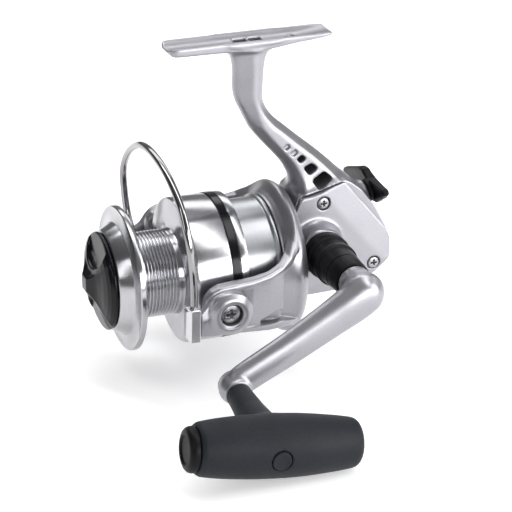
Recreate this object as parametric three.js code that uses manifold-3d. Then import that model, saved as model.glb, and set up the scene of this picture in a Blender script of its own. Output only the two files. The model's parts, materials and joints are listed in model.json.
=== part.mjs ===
// Spinning reel, 4000 size, front drag, left-hand crank with a T-bar knob.
// Millimetres, +Z up. The seat of the rod foot is at the origin, the spool axis runs along X below it,
// the spool looks towards -X and the crank is on the -Y side.
import * as THREE from 'three';
import { mergeVertices } from 'three/addons/utils/BufferGeometryUtils.js';
import Module from 'manifold-3d';

const wasm = await Module();
wasm.setup();

// ---------------------------------------------------------------- driving dimensions
const GAP = 0.3;                  // clearance between neighbouring pieces
const SEAT_X = 40;                // seat origin, measured back from the spool lip
const SEAT_Z = 82.5;              // seat origin above the spool axis

const FOOT_FRONT = 18.5;          // foot, measured back from the spool lip
const FOOT_REAR = 78.5;
const FOOT_HALF_WIDTH = 6.4;
const FOOT_RIM_Z = 83.8;

const LIP_R = 26;
const SKIRT_R = 26.2;
const SKIRT_FRONT_X = 20.2;
const SKIRT_REAR_X = 40.1;
const BAND_X0 = 33.7;
const BAND_X1 = 36.9;
const DRUM_R = 22.5;
const SPOOL_BORE_R = 2.4;
const SHAFT_R = 2.0;

const ROTOR_REST = THREE.MathUtils.degToRad(4);   // the near arm rests a little below level
const BAIL_X = 28.5;              // bail pivots, measured back from the spool lip
const ARM_OUT = 34.8;             // outer face of the rotor arms
const LEVER_OUT = 38.5;           // outer face of the bail levers

const DRIVE_X = 70.5;             // crank axis
const DRIVE_Z = 6.5;
const DRIVE_TEETH = 36;
const PINION_TEETH = 7;
const TIMING_TEETH = 14;          // small gear on the drive shaft
const OSC_TEETH = 26;             // oscillating gear
const OSC_X = 84;
const OSC_Z = 0.8;
const OSC_THROW = 5.5;

const CRANK_START = 45.5;         // collar end, out along -Y
const ELBOW = new THREE.Vector3(0, -54.5, 0);               // from the crank axis
const CRANK_END = new THREE.Vector3(-47.7, -56, -27.8);     // from the crank axis
const KNOB_DIR = new THREE.Vector3(-0.036, -0.9975, -0.057).normalize();
const KNOB_REACH = 39;            // crank end to bar axis
const BAR_TILT = THREE.MathUtils.degToRad(7);

const ANTI_X = 96;                // anti-reverse lever hub
const ANTI_Z = 20.5;
const ANTI_TILT = THREE.MathUtils.degToRad(13);

// ---------------------------------------------------------------- finishes
const finish = (color, roughness, metalness) => ({ color, roughness, metalness });
const SILVER_PAINT = finish('#b9b6bf', 0.42, 0.55);
const POLISHED = finish('#d4d4d6', 0.16, 1.0);
const MACHINED = finish('#a9abb0', 0.32, 0.9);
const STEEL = finish('#8f9298', 0.35, 1.0);
const BLACK_PLASTIC = finish('#17171a', 0.5, 0.0);
const BLACK_GLOSS = finish('#0e0e12', 0.22, 0.0);
const SOFT_GRIP = finish('#3a3b3f', 0.85, 0.0);
const BRASS = finish('#b08a4a', 0.35, 1.0);
const ZINC = finish('#9a9a98', 0.5, 0.8);
const FELT = finish('#6e675c', 0.95, 0.0);

// ---------------------------------------------------------------- geometry helpers
// Merge shared vertices, drop collapsed triangles and turn the faces outwards.
function clean(geometry) {
  const bare = geometry.clone();
  bare.deleteAttribute('normal');
  bare.deleteAttribute('uv');
  const merged = mergeVertices(bare, 1e-4);
  const index = Array.from(merged.index.array);
  const kept = [];
  for (let i = 0; i < index.length; i += 3) {
    const [a, b, c] = index.slice(i, i + 3);
    if (a !== b && b !== c && c !== a) kept.push(a, b, c);
  }
  const p = merged.attributes.position;
  const corner = (i) => new THREE.Vector3().fromBufferAttribute(p, i);
  let volume = 0;
  for (let i = 0; i < kept.length; i += 3) {
    volume += corner(kept[i]).dot(corner(kept[i + 1]).cross(corner(kept[i + 2])));
  }
  if (volume < 0) kept.reverse();
  merged.setIndex(kept);
  return merged;
}

function solid(geometry) {
  const closed = clean(geometry);
  return new wasm.Manifold(new wasm.Mesh({
    numProp: 3,
    vertProperties: new Float32Array(closed.attributes.position.array),
    triVerts: new Uint32Array(closed.index.array),
  }));
}

function surface(manifold) {
  const mesh = manifold.getMesh();
  const geometry = new THREE.BufferGeometry();
  geometry.setAttribute('position', new THREE.BufferAttribute(new Float32Array(mesh.vertProperties), 3));
  geometry.setIndex(Array.from(mesh.triVerts));
  return geometry;
}

function join(...geometries) {
  return surface(geometries.map(solid).reduce((sum, next) => sum.add(next)));
}

function cut(base, ...tools) {
  return surface(tools.map(solid).reduce((left, tool) => left.subtract(tool), solid(base)));
}

function common(first, second) {
  return surface(solid(first).intersect(solid(second)));
}

// Revolve [distance along the axis, radius] about X, or about -Y for the crank side.
function latheX(profile, segments, closed = true) {
  const points = profile.map(([along, r]) => new THREE.Vector2(r, along));
  if (closed) points.push(points[0].clone());
  return new THREE.LatheGeometry(points, segments).rotateZ(-Math.PI / 2);
}

function latheY(profile, segments, closed = true) {
  const points = profile.map(([along, r]) => new THREE.Vector2(r, -along));
  if (closed) points.push(points[0].clone());
  return new THREE.LatheGeometry(points, segments);
}

// A plain ring or disc on the X axis or on the -Y axis.
function ringX(x0, x1, rOut, rIn, segments) {
  if (rIn > 0) return latheX([[x0, rIn], [x0, rOut], [x1, rOut], [x1, rIn]], segments);
  return latheX([[x0, 0], [x0, rOut], [x1, rOut], [x1, 0]], segments, false);
}

function ringY(s0, s1, rOut, rIn, segments) {
  if (rIn > 0) return latheY([[s0, rIn], [s0, rOut], [s1, rOut], [s1, rIn]], segments);
  return latheY([[s0, 0], [s0, rOut], [s1, rOut], [s1, 0]], segments, false);
}

function hexNut(x0, x1, cornerR, boreR) {
  return cut(ringX(x0, x1, cornerR, 0, 6), ringX(x0 - 1, x1 + 1, boreR, 0, 16));
}

// Extrude an outline of [x, z] points from y0 to y1.
function slabXZ(points, y0, y1) {
  const shape = new THREE.Shape(points.map(([x, z]) => new THREE.Vector2(x, z)));
  const slab = new THREE.ExtrudeGeometry(shape, { depth: y1 - y0, bevelEnabled: false });
  return slab.rotateX(Math.PI / 2).translate(0, y1, 0);
}

// Extrude an outline of [y, z] points from x0 to x1.
function slabYZ(points, x0, x1) {
  const shape = new THREE.Shape(points.map(([y, z]) => new THREE.Vector2(y, z)));
  const slab = new THREE.ExtrudeGeometry(shape, { depth: x1 - x0, bevelEnabled: false });
  return slab.rotateX(Math.PI / 2).rotateZ(Math.PI / 2).translate(x0, 0, 0);
}

// A closed skin over equal rings of THREE.Vector3, made by moving the rings of a cylinder.
function loft(rings) {
  const around = rings[0].length;
  const skin = new THREE.CylinderGeometry(1, 1, 1, around, rings.length - 1);
  const position = skin.attributes.position;
  let at = 0;
  for (const ring of rings) {
    for (let i = 0; i <= around; i += 1) {
      const p = ring[i % around];
      position.setXYZ(at, p.x, p.y, p.z);
      at += 1;
    }
  }
  for (const ring of [rings[0], rings[rings.length - 1]]) {
    const middle = ring.reduce((sum, p) => sum.add(p), new THREE.Vector3()).divideScalar(around);
    for (let i = 0; i < around; i += 1) {
      position.setXYZ(at, middle.x, middle.y, middle.z);
      at += 1;
    }
    for (let i = 0; i <= around; i += 1) {
      const p = ring[i % around];
      position.setXYZ(at, p.x, p.y, p.z);
      at += 1;
    }
  }
  return skin;
}

// A slab whose outline changes from one face to the other: [x, z] rings at two or more y.
function loftXZ(layers) {
  return loft(layers.map(([y, points]) => points.map(([x, z]) => new THREE.Vector3(x, y, z))));
}

function rodBetween(from, to, r0, r1, segments) {
  const along = to.clone().sub(from);
  const rod = new THREE.CylinderGeometry(r1, r0, along.length(), segments);
  rod.applyQuaternion(new THREE.Quaternion().setFromUnitVectors(
    new THREE.Vector3(0, 1, 0), along.clone().normalize()));
  const middle = from.clone().add(to).divideScalar(2);
  return rod.translate(middle.x, middle.y, middle.z);
}

// A toothed disc in the XZ plane with its middle at the origin.
function spurGear(teeth, pitchR, add, ded, y0, y1, phase) {
  const points = [];
  const step = (2 * Math.PI) / teeth;
  for (let i = 0; i < teeth; i += 1) {
    const a = phase + i * step;
    for (const [turn, r] of [[-0.3, pitchR - ded], [-0.13, pitchR + add], [0.13, pitchR + add], [0.3, pitchR - ded]]) {
      points.push([r * Math.cos(a + turn * step), r * Math.sin(a + turn * step)]);
    }
  }
  return slabXZ(points, y0, y1);
}

// A cross-recessed screw along -Y: head from s = 0 inwards, shank behind it.
function screwY(headR, headH, shankR, length, recess) {
  const body = latheY([[0, 0], [0, headR * 0.8], [-headH * 0.35, headR], [-headH, headR],
    [-headH, shankR], [-length, shankR], [-length, 0]], 12, false);
  const bar = () => new THREE.BoxGeometry(recess * 2, 1.6, recess * 0.55);
  return cut(body, bar(), bar().rotateY(Math.PI / 2));
}

// ---------------------------------------------------------------- scene helpers
const reel = new THREE.Group();
const spoolAxis = new THREE.Group();
spoolAxis.position.set(-SEAT_X, 0, -SEAT_Z);
reel.add(spoolAxis);

function group(parent, x, y, z) {
  const child = new THREE.Group();
  child.position.set(x, y, z);
  parent.add(child);
  return child;
}

function add(parent, name, geometry, look) {
  const mesh = new THREE.Mesh(clean(geometry), new THREE.MeshStandardMaterial(look));
  mesh.name = name;
  parent.add(mesh);
  return mesh;
}

// ---------------------------------------------------------------- frame: foot, stem and gearbox
const STEM = [                    // height, front, rear, half width, nose depth, rear bevel
  [82.0, 35.6, 63.6, 6.0, 5.6, 5.6],
  [80.6, 37.8, 59.2, 6.1, 5.6, 4.6],
  [78.8, 40.8, 56.4, 6.0, 5.6, 4.0],
  [76.6, 42.4, 54.8, 5.9, 5.7, 3.8],
  [72.0, 43.1, 54.0, 5.8, 5.7, 3.4],
  [65.0, 43.1, 53.6, 5.8, 5.4, 3.0],
  [61.0, 43.9, 53.6, 5.8, 4.8, 2.8],
  [57.0, 45.7, 55.2, 5.9, 4.2, 2.6],
  [53.2, 47.5, 58.2, 6.0, 3.6, 2.6],
  [49.8, 49.4, 62.0, 6.1, 3.2, 2.6],
  [45.0, 53.2, 67.4, 6.3, 3.0, 2.6],
  [40.7, 57.0, 72.5, 6.6, 2.8, 2.6],
  [36.1, 60.8, 77.6, 7.0, 2.8, 2.8],
  [32.3, 63.0, 81.5, 7.6, 2.8, 3.0],
  [29.1, 64.2, 84.6, 8.4, 2.8, 3.0],
  [26.0, 64.4, 87.4, 9.2, 2.8, 3.0],
  [20.0, 63.6, 90.5, 10.0, 2.8, 3.0],
];
const BODY_OUTLINE = [
  [58.4, -12.4], [70, -12.9], [80, -13], [88, -11.3], [94, -7.8], [97.3, -4.6], [99.6, -2], [99.9, 4.9],
  [98.6, 8.8], [96.2, 13.5], [93.5, 18.5], [89, 24.5], [83, 28.9], [75.6, 27.1], [68.5, 25.2], [64.6, 25],
  [62.6, 20], [58.4, 17.2],
];
const COVER_FACE = [
  [62.2, -8.4], [70, -8.8], [78, -8.8], [85.4, -8], [90.6, -6], [93.4, -4.2], [95.2, -1.5], [94.4, 1.8],
  [91.1, 5.8], [87.1, 9.9], [83.1, 14], [79.2, 18.2], [77.6, 21], [73.6, 22.6], [68.8, 21.9], [65.8, 21.6],
  [64.4, 18.4], [62.2, 15.4],
];
const CAVITY = [
  [59.8, -9.6], [80, -10.6], [87.8, -9.4], [93.4, -6.6], [96, -3.4], [97.7, -0.5], [97.7, 4.5], [96.5, 8],
  [94, 12.6], [90, 17.6], [65, 18.4], [59.8, 13.4],
];
const COVER_SCREWS = [[73.1, 22.3], [93, -3.5], [63.9, -10.3]];
const PART_Y = -9;                // parting face of the housing
const FAR_Y = 11.6;

const COVER_RIM = BODY_OUTLINE.map(([x, z]) => [Math.max(x, 60.2), z]);

function scaledOutline(points, factor, cx = 79, cz = 6) {
  return points.map(([x, z]) => [cx + (x - cx) * factor, cz + (z - cz) * factor]);
}

function stemRing([z, front, rear, half, nose, bevel]) {
  const tip = half * 0.4;
  return [
    [front, -tip], [front, tip], [front + nose, half], [rear - bevel, half],
    [rear, tip], [rear, -tip], [rear - bevel, -half], [front + nose, -half],
  ].map(([x, y]) => new THREE.Vector3(x, y, z));
}

function footBlank() {
  const side = slabXZ([
    [FOOT_FRONT, 82.2], [FOOT_FRONT + 1, 81.6], [34.5, 81.1], [46, 80.4], [57.4, 80.6], [64.9, 81.7],
    [72.3, 82.4], [FOOT_REAR, 82.8],
    [FOOT_REAR, FOOT_RIM_Z], [FOOT_FRONT, FOOT_RIM_Z],
  ], -FOOT_HALF_WIDTH, FOOT_HALF_WIDTH);
  const plan = new THREE.Shape();
  const r = 4.6;
  const w = FOOT_HALF_WIDTH;
  plan.moveTo(FOOT_FRONT + r, -w);
  plan.lineTo(FOOT_REAR - r, -w);
  plan.absarc(FOOT_REAR - r, -w + r, r, -Math.PI / 2, 0);
  plan.absarc(FOOT_REAR - r, w - r, r, 0, Math.PI / 2);
  plan.absarc(FOOT_FRONT + r, w - r, r, Math.PI / 2, Math.PI);
  plan.absarc(FOOT_FRONT + r, -w + r, r, Math.PI, Math.PI * 1.5);
  const planSlab = new THREE.ExtrudeGeometry(plan, { depth: 20, bevelEnabled: false, curveSegments: 5 });
  return common(side, planSlab.translate(0, 0, 68));
}

function footChannel() {
  return slabYZ([[-5.5, 84.4], [-5.4, 83.7], [-4.4, 83], [-3.2, 82.5], [3.2, 82.5], [4.4, 83], [5.4, 83.7],
    [5.5, 84.4]], FOOT_FRONT - 2, FOOT_REAR + 2);
}

function stemPockets() {
  const windows = [
    [[59.6, 43.4], [61.4, 44.6], [62.4, 43.4], [60.6, 42.1]],
    [[62.1, 40.9], [64.1, 42.2], [65.2, 40.8], [63.2, 39.5]],
    [[64.4, 38.6], [66.6, 40], [68.3, 38.3], [65.9, 36.7]],
    [[66.9, 35], [70.1, 36.5], [72.7, 34.3], [69.1, 31.9]],
    [[69.8, 30.1], [74.8, 33.1], [78.2, 29.9], [72.3, 26.4]],
  ];
  const depths = [0.8, 0.8, 3.2, 3.4, 3.8];
  const tools = [];
  windows.forEach((quad, i) => {
    for (const side of [-1, 1]) {
      const wall = 6.1 + (44 - quad[0][1]) * 0.15;
      const [y0, y1] = [side * (wall - depths[i]), side * 16].sort((a, b) => a - b);
      tools.push(slabXZ(quad, y0, y1));
    }
  });
  return tools;
}

function frameBody() {
  const stem = loft(STEM.map(stemRing));
  const shell = loftXZ([
    [PART_Y, BODY_OUTLINE], [8.6, BODY_OUTLINE], [FAR_Y, scaledOutline(BODY_OUTLINE, 0.84)],
  ]);
  const flange = ringX(57.2, 59.8, 20.8, 0, 32);
  const farBoss = ringY(-14.2, -9, 8.6, 0, 22).translate(DRIVE_X, 0, DRIVE_Z);
  const antiBoss = rodBetween(new THREE.Vector3(84, 0, 17.8), new THREE.Vector3(ANTI_X - 2.5, 0, 20), 5.4, 4.6, 18);
  const blank = join(footBlank(), stem, shell, flange, farBoss, antiBoss);
  const cavity = slabXZ(CAVITY, PART_Y - 1, 9.4);
  const tools = [
    slabXZ(scaledOutline(COVER_RIM, 1.02), -20, PART_Y),
    footChannel(),
    new THREE.BoxGeometry(4.9, 5, 9).translate(45.9, 0, 82.6),
    new THREE.BoxGeometry(4.6, 5, 9).translate(51.4, 0, 82.6),
    new THREE.CylinderGeometry(1.3, 1.3, 10, 12).rotateX(Math.PI / 2).translate(64.5, 0, 82),
    ...stemPockets(),
    ringX(56, 61, 6.9, 0, 18),
    ringY(-13.6, -9, 6.5, 0, 18).translate(DRIVE_X, 0, DRIVE_Z),
    ringY(-16, -9, 3.9, 0, 16).translate(DRIVE_X, 0, DRIVE_Z),
    rodBetween(new THREE.Vector3(88, 0, 18.75), new THREE.Vector3(96, 0, 20.6), 2.2, 2.2, 14),
    ringY(-6, 12, 1.5, 0, 12).translate(COVER_SCREWS[0][0], 0, COVER_SCREWS[0][1]),
  ];
  let body = solid(blank).subtract(solid(cavity));
  const [frontX, frontZ] = COVER_SCREWS[2];
  const frontPost = ringY(-9.6, -PART_Y, 2.7, 0, 14).translate(frontX, 0, frontZ);
  const rearPost = slabXZ([[89.8, -8.6], [89.6, -2.4], [91, 0], [98.4, 0.2], [98.6, -2.4], [96.6, -4.5], [93, -8]],
    PART_Y, PART_Y + 5.3);
  body = body.add(solid(common(frontPost, slabXZ(scaledOutline(BODY_OUTLINE, 0.99), -20, 20)))).add(solid(rearPost));
  for (const [x, z] of [COVER_SCREWS[1], COVER_SCREWS[2]]) {
    tools.push(ringY(4.6, 12, 1.5, 0, 12).translate(x, 0, z));
  }
  for (const tool of tools) body = body.subtract(solid(tool));
  return surface(body);
}

function sideCover() {
  const rim = COVER_RIM;
  const face = COVER_FACE;
  const outside = loftXZ([[PART_Y - GAP, rim], [-9.9, rim], [-11.6, face]]);
  const inside = loftXZ([[PART_Y, scaledOutline(face, 0.93)], [-10.2, scaledOutline(face, 0.9)]]);
  const hub = latheY([[9.6, 0], [9.6, 9.1], [13, 9], [17.4, 8.6], [18.3, 8], [18.3, 0]], 24, false);
  const shell = cut(join(outside, hub.translate(DRIVE_X, 0, DRIVE_Z)), inside);
  const holes = [
    ringY(8, 17.2, 6.5, 0, 18).translate(DRIVE_X, 0, DRIVE_Z),
    ringY(8, 20, 4, 0, 16).translate(DRIVE_X, 0, DRIVE_Z),
  ];
  for (const [x, z] of COVER_SCREWS) {
    holes.push(ringY(8, 12, 1.5, 0, 12).translate(x, 0, z));
    holes.push(ringY(10.1, 14, 2.6, 0, 16).translate(x, 0, z));
  }
  const backing = COVER_SCREWS.map(([x, z]) => solid(common(
    ringY(PART_Y * -1 + GAP, 10.9, 3.3, 0, 16).translate(x, 0, z), outside)));
  let cover = solid(shell);
  for (const pad of backing) cover = cover.add(pad);
  for (const hole of holes) cover = cover.subtract(solid(hole));
  return surface(cover);
}

add(spoolAxis, 'frame_body', frameBody(), SILVER_PAINT);
add(spoolAxis, 'side_cover', sideCover(), SILVER_PAINT);
COVER_SCREWS.forEach(([x, z], i) => {
  const screw = screwY(2.2, 1.3, 1.15, 6.4, 1.2);
  add(group(spoolAxis, x, -11.7, z), `cover_screw_${i + 1}`, screw, STEEL);
});

const driveAxis = group(spoolAxis, DRIVE_X, 0, DRIVE_Z);
add(driveAxis, 'drive_bearing_near', ringY(12.6, 16.9, 6.2, 3.9, 18), STEEL);
add(driveAxis, 'drive_bearing_far', ringY(-13.3, -9.7, 6.2, 3.9, 18), STEEL);
add(driveAxis, 'far_side_cap', latheY([[-14.5, 0], [-14.5, 8.8], [-16.6, 8.8], [-17.8, 7.4], [-18.4, 4.4],
  [-18.6, 0]], 22, false), BLACK_PLASTIC);
add(spoolAxis, 'pinion_bearing', ringX(57.4, 59.8, 6.6, 4.5, 18), STEEL);
add(spoolAxis, 'bearing_retainer', ringX(56.2, 56.9, 10.5, 8.6, 18), STEEL);
add(spoolAxis, 'one_way_clutch', ringX(54.6, 56.9, 8.2, 4.6, 18), STEEL);
add(spoolAxis, 'pinion_bushing', ringX(65.8, 67.2, 4, 2.5, 16), BRASS);
add(spoolAxis, 'slider_rail_lower', new THREE.CylinderGeometry(1.1, 1.1, 19.2, 12)
  .rotateZ(Math.PI / 2).translate(80, -1.2, -4.7), STEEL);
add(spoolAxis, 'slider_rail_upper', new THREE.CylinderGeometry(1.1, 1.1, 19.5, 12)
  .rotateZ(Math.PI / 2).translate(86.2, -1.2, 6.6), STEEL);

// ---------------------------------------------------------------- drive train and crank
function driveGear() {
  const disc = ringY(5.7, 7.8, 10.1, 0, 28);
  const hub = ringY(-2.6, 9.4, 4.9, 0, 18);
  const shaft = ringY(-12.9, 30, 3.5, 0, 16);
  const timing = spurGear(TIMING_TEETH, 5.129, 0.35, 0.9, 5.6, 7.8, Math.atan2(OSC_Z - DRIVE_Z, OSC_X - DRIVE_X));
  let gear = solid(join(disc, shaft, timing));
  const tooth = () => new THREE.BoxGeometry(2.3, 1.4, 0.8).translate(9, -5.35, 0);
  for (let i = 0; i < DRIVE_TEETH; i += 1) {
    gear = gear.add(solid(tooth().rotateY((i * 2 * Math.PI) / DRIVE_TEETH)));
  }
  return surface(gear.add(solid(common(hub, ringY(4.4, 8.4, 6, 0, 18)))));
}

function handleCollar() {
  return latheY([[18.6, 3.8], [18.6, 8], [19.1, 8.3], [23.6, 8.3], [24.2, 7.5], [28.6, 7.4], [29, 7.9],
    [30.6, 7.9], [31, 7.3], [44.6, 6.5], [45.2, 6.1], [45.2, 3.8]], 22);
}

// A ring across the crank: width lies in the crank's plane, thickness runs along the crank axis.
function crankRing(center, along, width, thickness) {
  const out = new THREE.Vector3(0, -1, 0).addScaledVector(along, along.y).normalize();
  const side = new THREE.Vector3().crossVectors(along, out).normalize();
  const ring = [];
  for (let i = 0; i < 12; i += 1) {
    const a = ((i + 0.5) * 2 * Math.PI) / 12;
    ring.push(center.clone().addScaledVector(side, Math.cos(a) * width)
      .addScaledVector(out, Math.sin(a) * thickness));
  }
  return ring;
}

function crankArm() {
  const along = CRANK_END.clone().sub(ELBOW).normalize();
  const length = CRANK_END.distanceTo(ELBOW);
  const stations = [           // along the crank, rise, half width, half thickness
    [-6, -1, 3.4, 3], [-4.6, -1, 5.4, 4.6], [-1.2, -1.1, 6.8, 5.6], [5, -1.1, 7, 5.6], [15, -0.9, 6.5, 4.9],
    [32, -0.4, 5.9, 4.2], [length - 4, 1.1, 5.5, 3.8], [length, 0.6, 5.2, 3.7], [length + 3.2, 0.2, 4.2, 3.2],
    [length + 5, 0.2, 2.3, 2.2]];
  const rise = new THREE.Vector3(along.z, 0, -along.x).normalize();
  const arm = loft(stations.map(([t, d, w, h]) => crankRing(
    ELBOW.clone().addScaledVector(along, t).addScaledVector(rise, d), along, w, h)));
  const stub = ringY(CRANK_START, 53.5, 5.9, 0, 18);
  const spigot = ringY(32, CRANK_START + 1, 3.4, 0, 16);
  const boss = rodBetween(CRANK_END.clone().addScaledVector(KNOB_DIR, -3.9),
    CRANK_END.clone().addScaledVector(KNOB_DIR, 4.2), 4.9, 4.6, 16);
  const bore = rodBetween(CRANK_END.clone().addScaledVector(KNOB_DIR, -8),
    CRANK_END.clone().addScaledVector(KNOB_DIR, 8), 2.5, 2.5, 16);
  return cut(join(arm, stub, spigot, boss), bore);
}

add(driveAxis, 'drive_gear', driveGear(), ZINC);
add(driveAxis, 'handle_collar', handleCollar(), BLACK_PLASTIC);
add(driveAxis, 'crank_arm', crankArm(), SILVER_PAINT);

// ---------------------------------------------------------------- T-bar knob, +Y of this group looks out along the post
const knobAxis = group(driveAxis, CRANK_END.x, CRANK_END.y, CRANK_END.z);
const barDirection = new THREE.Vector3(Math.cos(BAR_TILT), 0, -Math.sin(BAR_TILT));
barDirection.addScaledVector(KNOB_DIR, -barDirection.dot(KNOB_DIR)).normalize();
knobAxis.setRotationFromMatrix(new THREE.Matrix4().makeBasis(
  barDirection, KNOB_DIR, new THREE.Vector3().crossVectors(barDirection, KNOB_DIR)));

function knobGrip() {
  const bar = latheX([[-26.3, 0], [-26.3, 8], [-25.2, 8.7], [-19, 9.7], [-10, 10.5], [0, 10.9], [10, 10.5],
    [20, 9.5], [25.5, 8.7], [28.3, 7.4], [29.8, 5], [30.2, 0]], 22, false).translate(0, KNOB_REACH, 0);
  const neck = latheY([[-4.5, 0], [-4.5, 4.3], [-9, 4.6], [-18, 5.2],
    [-26, 6.1], [-32, 7.2], [-32, 0]], 16, false);
  const bore = ringY(-KNOB_REACH - 8, -4, 2.6, 0, 16);
  const plugSeat = ringY(-KNOB_REACH - 14, -KNOB_REACH - 7.4, 3.6, 0, 16);
  return cut(join(bar, neck), bore, plugSeat);
}

add(knobAxis, 'knob_post', latheY([[5.1, 0], [5.1, 3.2], [4.8, 3.8], [4.4, 3.8], [4.4, 2.2], [-KNOB_REACH - 6.6, 2.2],
  [-KNOB_REACH - 6.6, 0]], 16, false), STEEL);
add(knobAxis, 'knob_grip', knobGrip(), SOFT_GRIP);
add(knobAxis, 'knob_end_cap', latheX([[-26.6, 0], [-26.6, 7.6], [-28, 7.5], [-29.4, 6.9], [-29.9, 5.8], [-29.6, 0]],
  28, false).translate(0, KNOB_REACH, 0), BLACK_PLASTIC);
add(knobAxis, 'knob_plug', ringY(-KNOB_REACH - 10.5, -KNOB_REACH - 7.9, 3.3, 0, 16), BLACK_PLASTIC);

// ---------------------------------------------------------------- rotor
const rotorAxis = group(spoolAxis, 0, 0, 0);
rotorAxis.rotation.x = ROTOR_REST;

const ARM = [                     // x, outer face, inner face, half width above, below, below on the far arm
  [19.6, 34.3, 30.8, 4.6, 4.6, 3.5],
  [21.6, ARM_OUT, 30.4, 7.2, 7.2, 5],
  [25, ARM_OUT, 30.2, 8.9, 8.9, 5.8],
  [31, ARM_OUT, 30.1, 9.4, 9.8, 5.8],
  [38, 34.4, 29.8, 9.7, 10.6, 5.8],
  [45, 33.2, 28.8, 10.3, 11.4, 7.5],
  [52, 31.4, 27.1, 11.6, 12.6, 10.5],
  [56, 30.4, 24.2, 12.6, 13.4, 12],
  [58.6, 27.2, 23.2, 13.8, 14.2, 13.6],
  [61.5, 24.8, 23, 14, 14.4, 14],
];

function rotorArm(side) {
  const rings = ARM.map(([x, out, inside, above, below, farBelow]) => {
    const low = side < 0 ? below : farBelow;
    return [
      [side * out, -low + 2], [side * out, above - 2], [side * (out - 1.4), above], [side * inside, above],
      [side * inside, -low], [side * (out - 1.4), -low],
    ].map(([y, z]) => new THREE.Vector3(x, y, z));
  });
  return loft(rings);
}

function rotor() {
  const cup = latheX([[34.5, 20.4], [34.5, 22.3], [34.8, DRUM_R], [52, DRUM_R], [52.8, 23.5], [54, 22.9],
    [58.3, 27.3], [58.9, 27.6], [59.5, 27.3], [61.9, 24.8], [61.9, 22.9], [58, 22.2], [53.5, 21], [50.2, 20.4],
    [50.2, 8.4], [53.8, 8.4], [53.8, 4.6], [46.4, 4.6], [46.4, 20.4]], 30);
  const drillNear = ringY(28, 40, 2.4, 0, 14).translate(BAIL_X, 0, 0);
  const drillFar = ringY(-40, -28, 2.4, 0, 14).translate(BAIL_X, 0, 0);
  return cut(join(cup, rotorArm(-1), rotorArm(1)), drillNear, drillFar);
}

function pinion() {
  const tube = latheX([[41.6, 2.5], [41.6, 4], [60.8, 4], [60.8, 3.1], [65.4, 3.1], [65.4, 2.5]], 16);
  let gear = solid(tube);
  for (let i = 0; i < PINION_TEETH; i += 1) {
    const tooth = new THREE.BoxGeometry(4.5, 1.7, 1.3).translate(63.1, 3.25, 0);
    gear = gear.add(solid(tooth.rotateX((i * 2 * Math.PI) / PINION_TEETH)));
  }
  return surface(gear);
}

function balanceWeight() {
  const arc = new THREE.Shape();
  arc.absarc(0, 0, 20.1, Math.PI * 1.34, Math.PI * 1.66, false);
  arc.absarc(0, 0, 17.4, Math.PI * 1.66, Math.PI * 1.34, true);
  const slab = new THREE.ExtrudeGeometry(arc, { depth: 8, bevelEnabled: false, curveSegments: 8 });
  return slab.rotateX(Math.PI / 2).rotateZ(Math.PI / 2).translate(38, 0, 0);
}

add(rotorAxis, 'rotor', rotor(), SILVER_PAINT);
add(rotorAxis, 'pinion', pinion(), BRASS);
add(rotorAxis, 'rotor_nut', hexNut(42.4, 46.1, 7, 4.3), STEEL);
add(rotorAxis, 'balance_weight', balanceWeight(), ZINC);

// ---------------------------------------------------------------- bail
const bailAxis = group(rotorAxis, BAIL_X, 0, 0);
const WIRE_R = 1.35;
const WIRE_TILT = Math.tan(THREE.MathUtils.degToRad(4));
const WIRE_PATH = [               // y, z in the bail frame, near end to far end
  [-36.7, 5], [-38, 15], [-37.4, 24], [-34, 33], [-27.4, 40.6], [-14.5, 45.8], [0, 46.8],
  [12.5, 44.4], [24.5, 38.2], [33.6, 30.4], [38.6, 22.6], [39, 14.4], [37.6, 7], [33.8, 1.4], [29.6, -1],
].map(([y, z]) => new THREE.Vector3(15 - BAIL_X - (z - 5) * WIRE_TILT, y, z));

const wireStart = WIRE_PATH[0];
const rollerX = 15 - BAIL_X;
const rollerZ = -6;

function leverOutline(tabLow, tabHigh, tabX) {
  const points = [[tabX - BAIL_X, tabHigh], [tabX - BAIL_X, tabLow]];
  const r = 8.2;
  for (let i = 0; i <= 16; i += 1) {
    const a = -Math.PI * 0.62 + (i * Math.PI * 1.24) / 16;
    points.push([r * Math.cos(a), r * Math.sin(a)]);
  }
  return points;
}

function nearLever() {
  const plate = slabXZ(leverOutline(-8.1, 0.6, 17.6), -LEVER_OUT, -ARM_OUT - GAP);
  const dome = latheY([[LEVER_OUT - 1, 0], [LEVER_OUT - 1, 7.4], [LEVER_OUT + 0.4, 6.8], [LEVER_OUT + 0.9, 5.6],
    [LEVER_OUT + 0.9, 0]], 18, false);
  const drill = ringY(30, 45, 2.3, 0, 14);
  const recess = ringY(LEVER_OUT - 2.6, 45, 4.1, 0, 16);
  return cut(join(plate, dome), drill, recess);
}

function farLever() {
  const plate = slabXZ(leverOutline(-10.4, -1.6, 15), ARM_OUT + GAP, LEVER_OUT);
  const nose = ringY(-LEVER_OUT, -ARM_OUT - GAP, 4.4, 0, 16).translate(rollerX, 0, rollerZ);
  const drill = ringY(-45, -30, 2.3, 0, 14);
  const recess = ringY(-45, -LEVER_OUT + 2.6, 4.1, 0, 16);
  const rollerDrill = ringY(-45, -30, 1.6, 0, 12).translate(rollerX, 0, rollerZ);
  return cut(join(plate, nose), drill, recess, rollerDrill);
}

function bailWire() {
  const curve = new THREE.CatmullRomCurve3(WIRE_PATH, false, 'centripetal');
  const section = new THREE.Shape();
  section.absarc(0, 0, WIRE_R, 0, Math.PI * 2);
  return new THREE.ExtrudeGeometry(section, { steps: 26, extrudePath: curve, curveSegments: 4, bevelEnabled: false });
}

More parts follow.
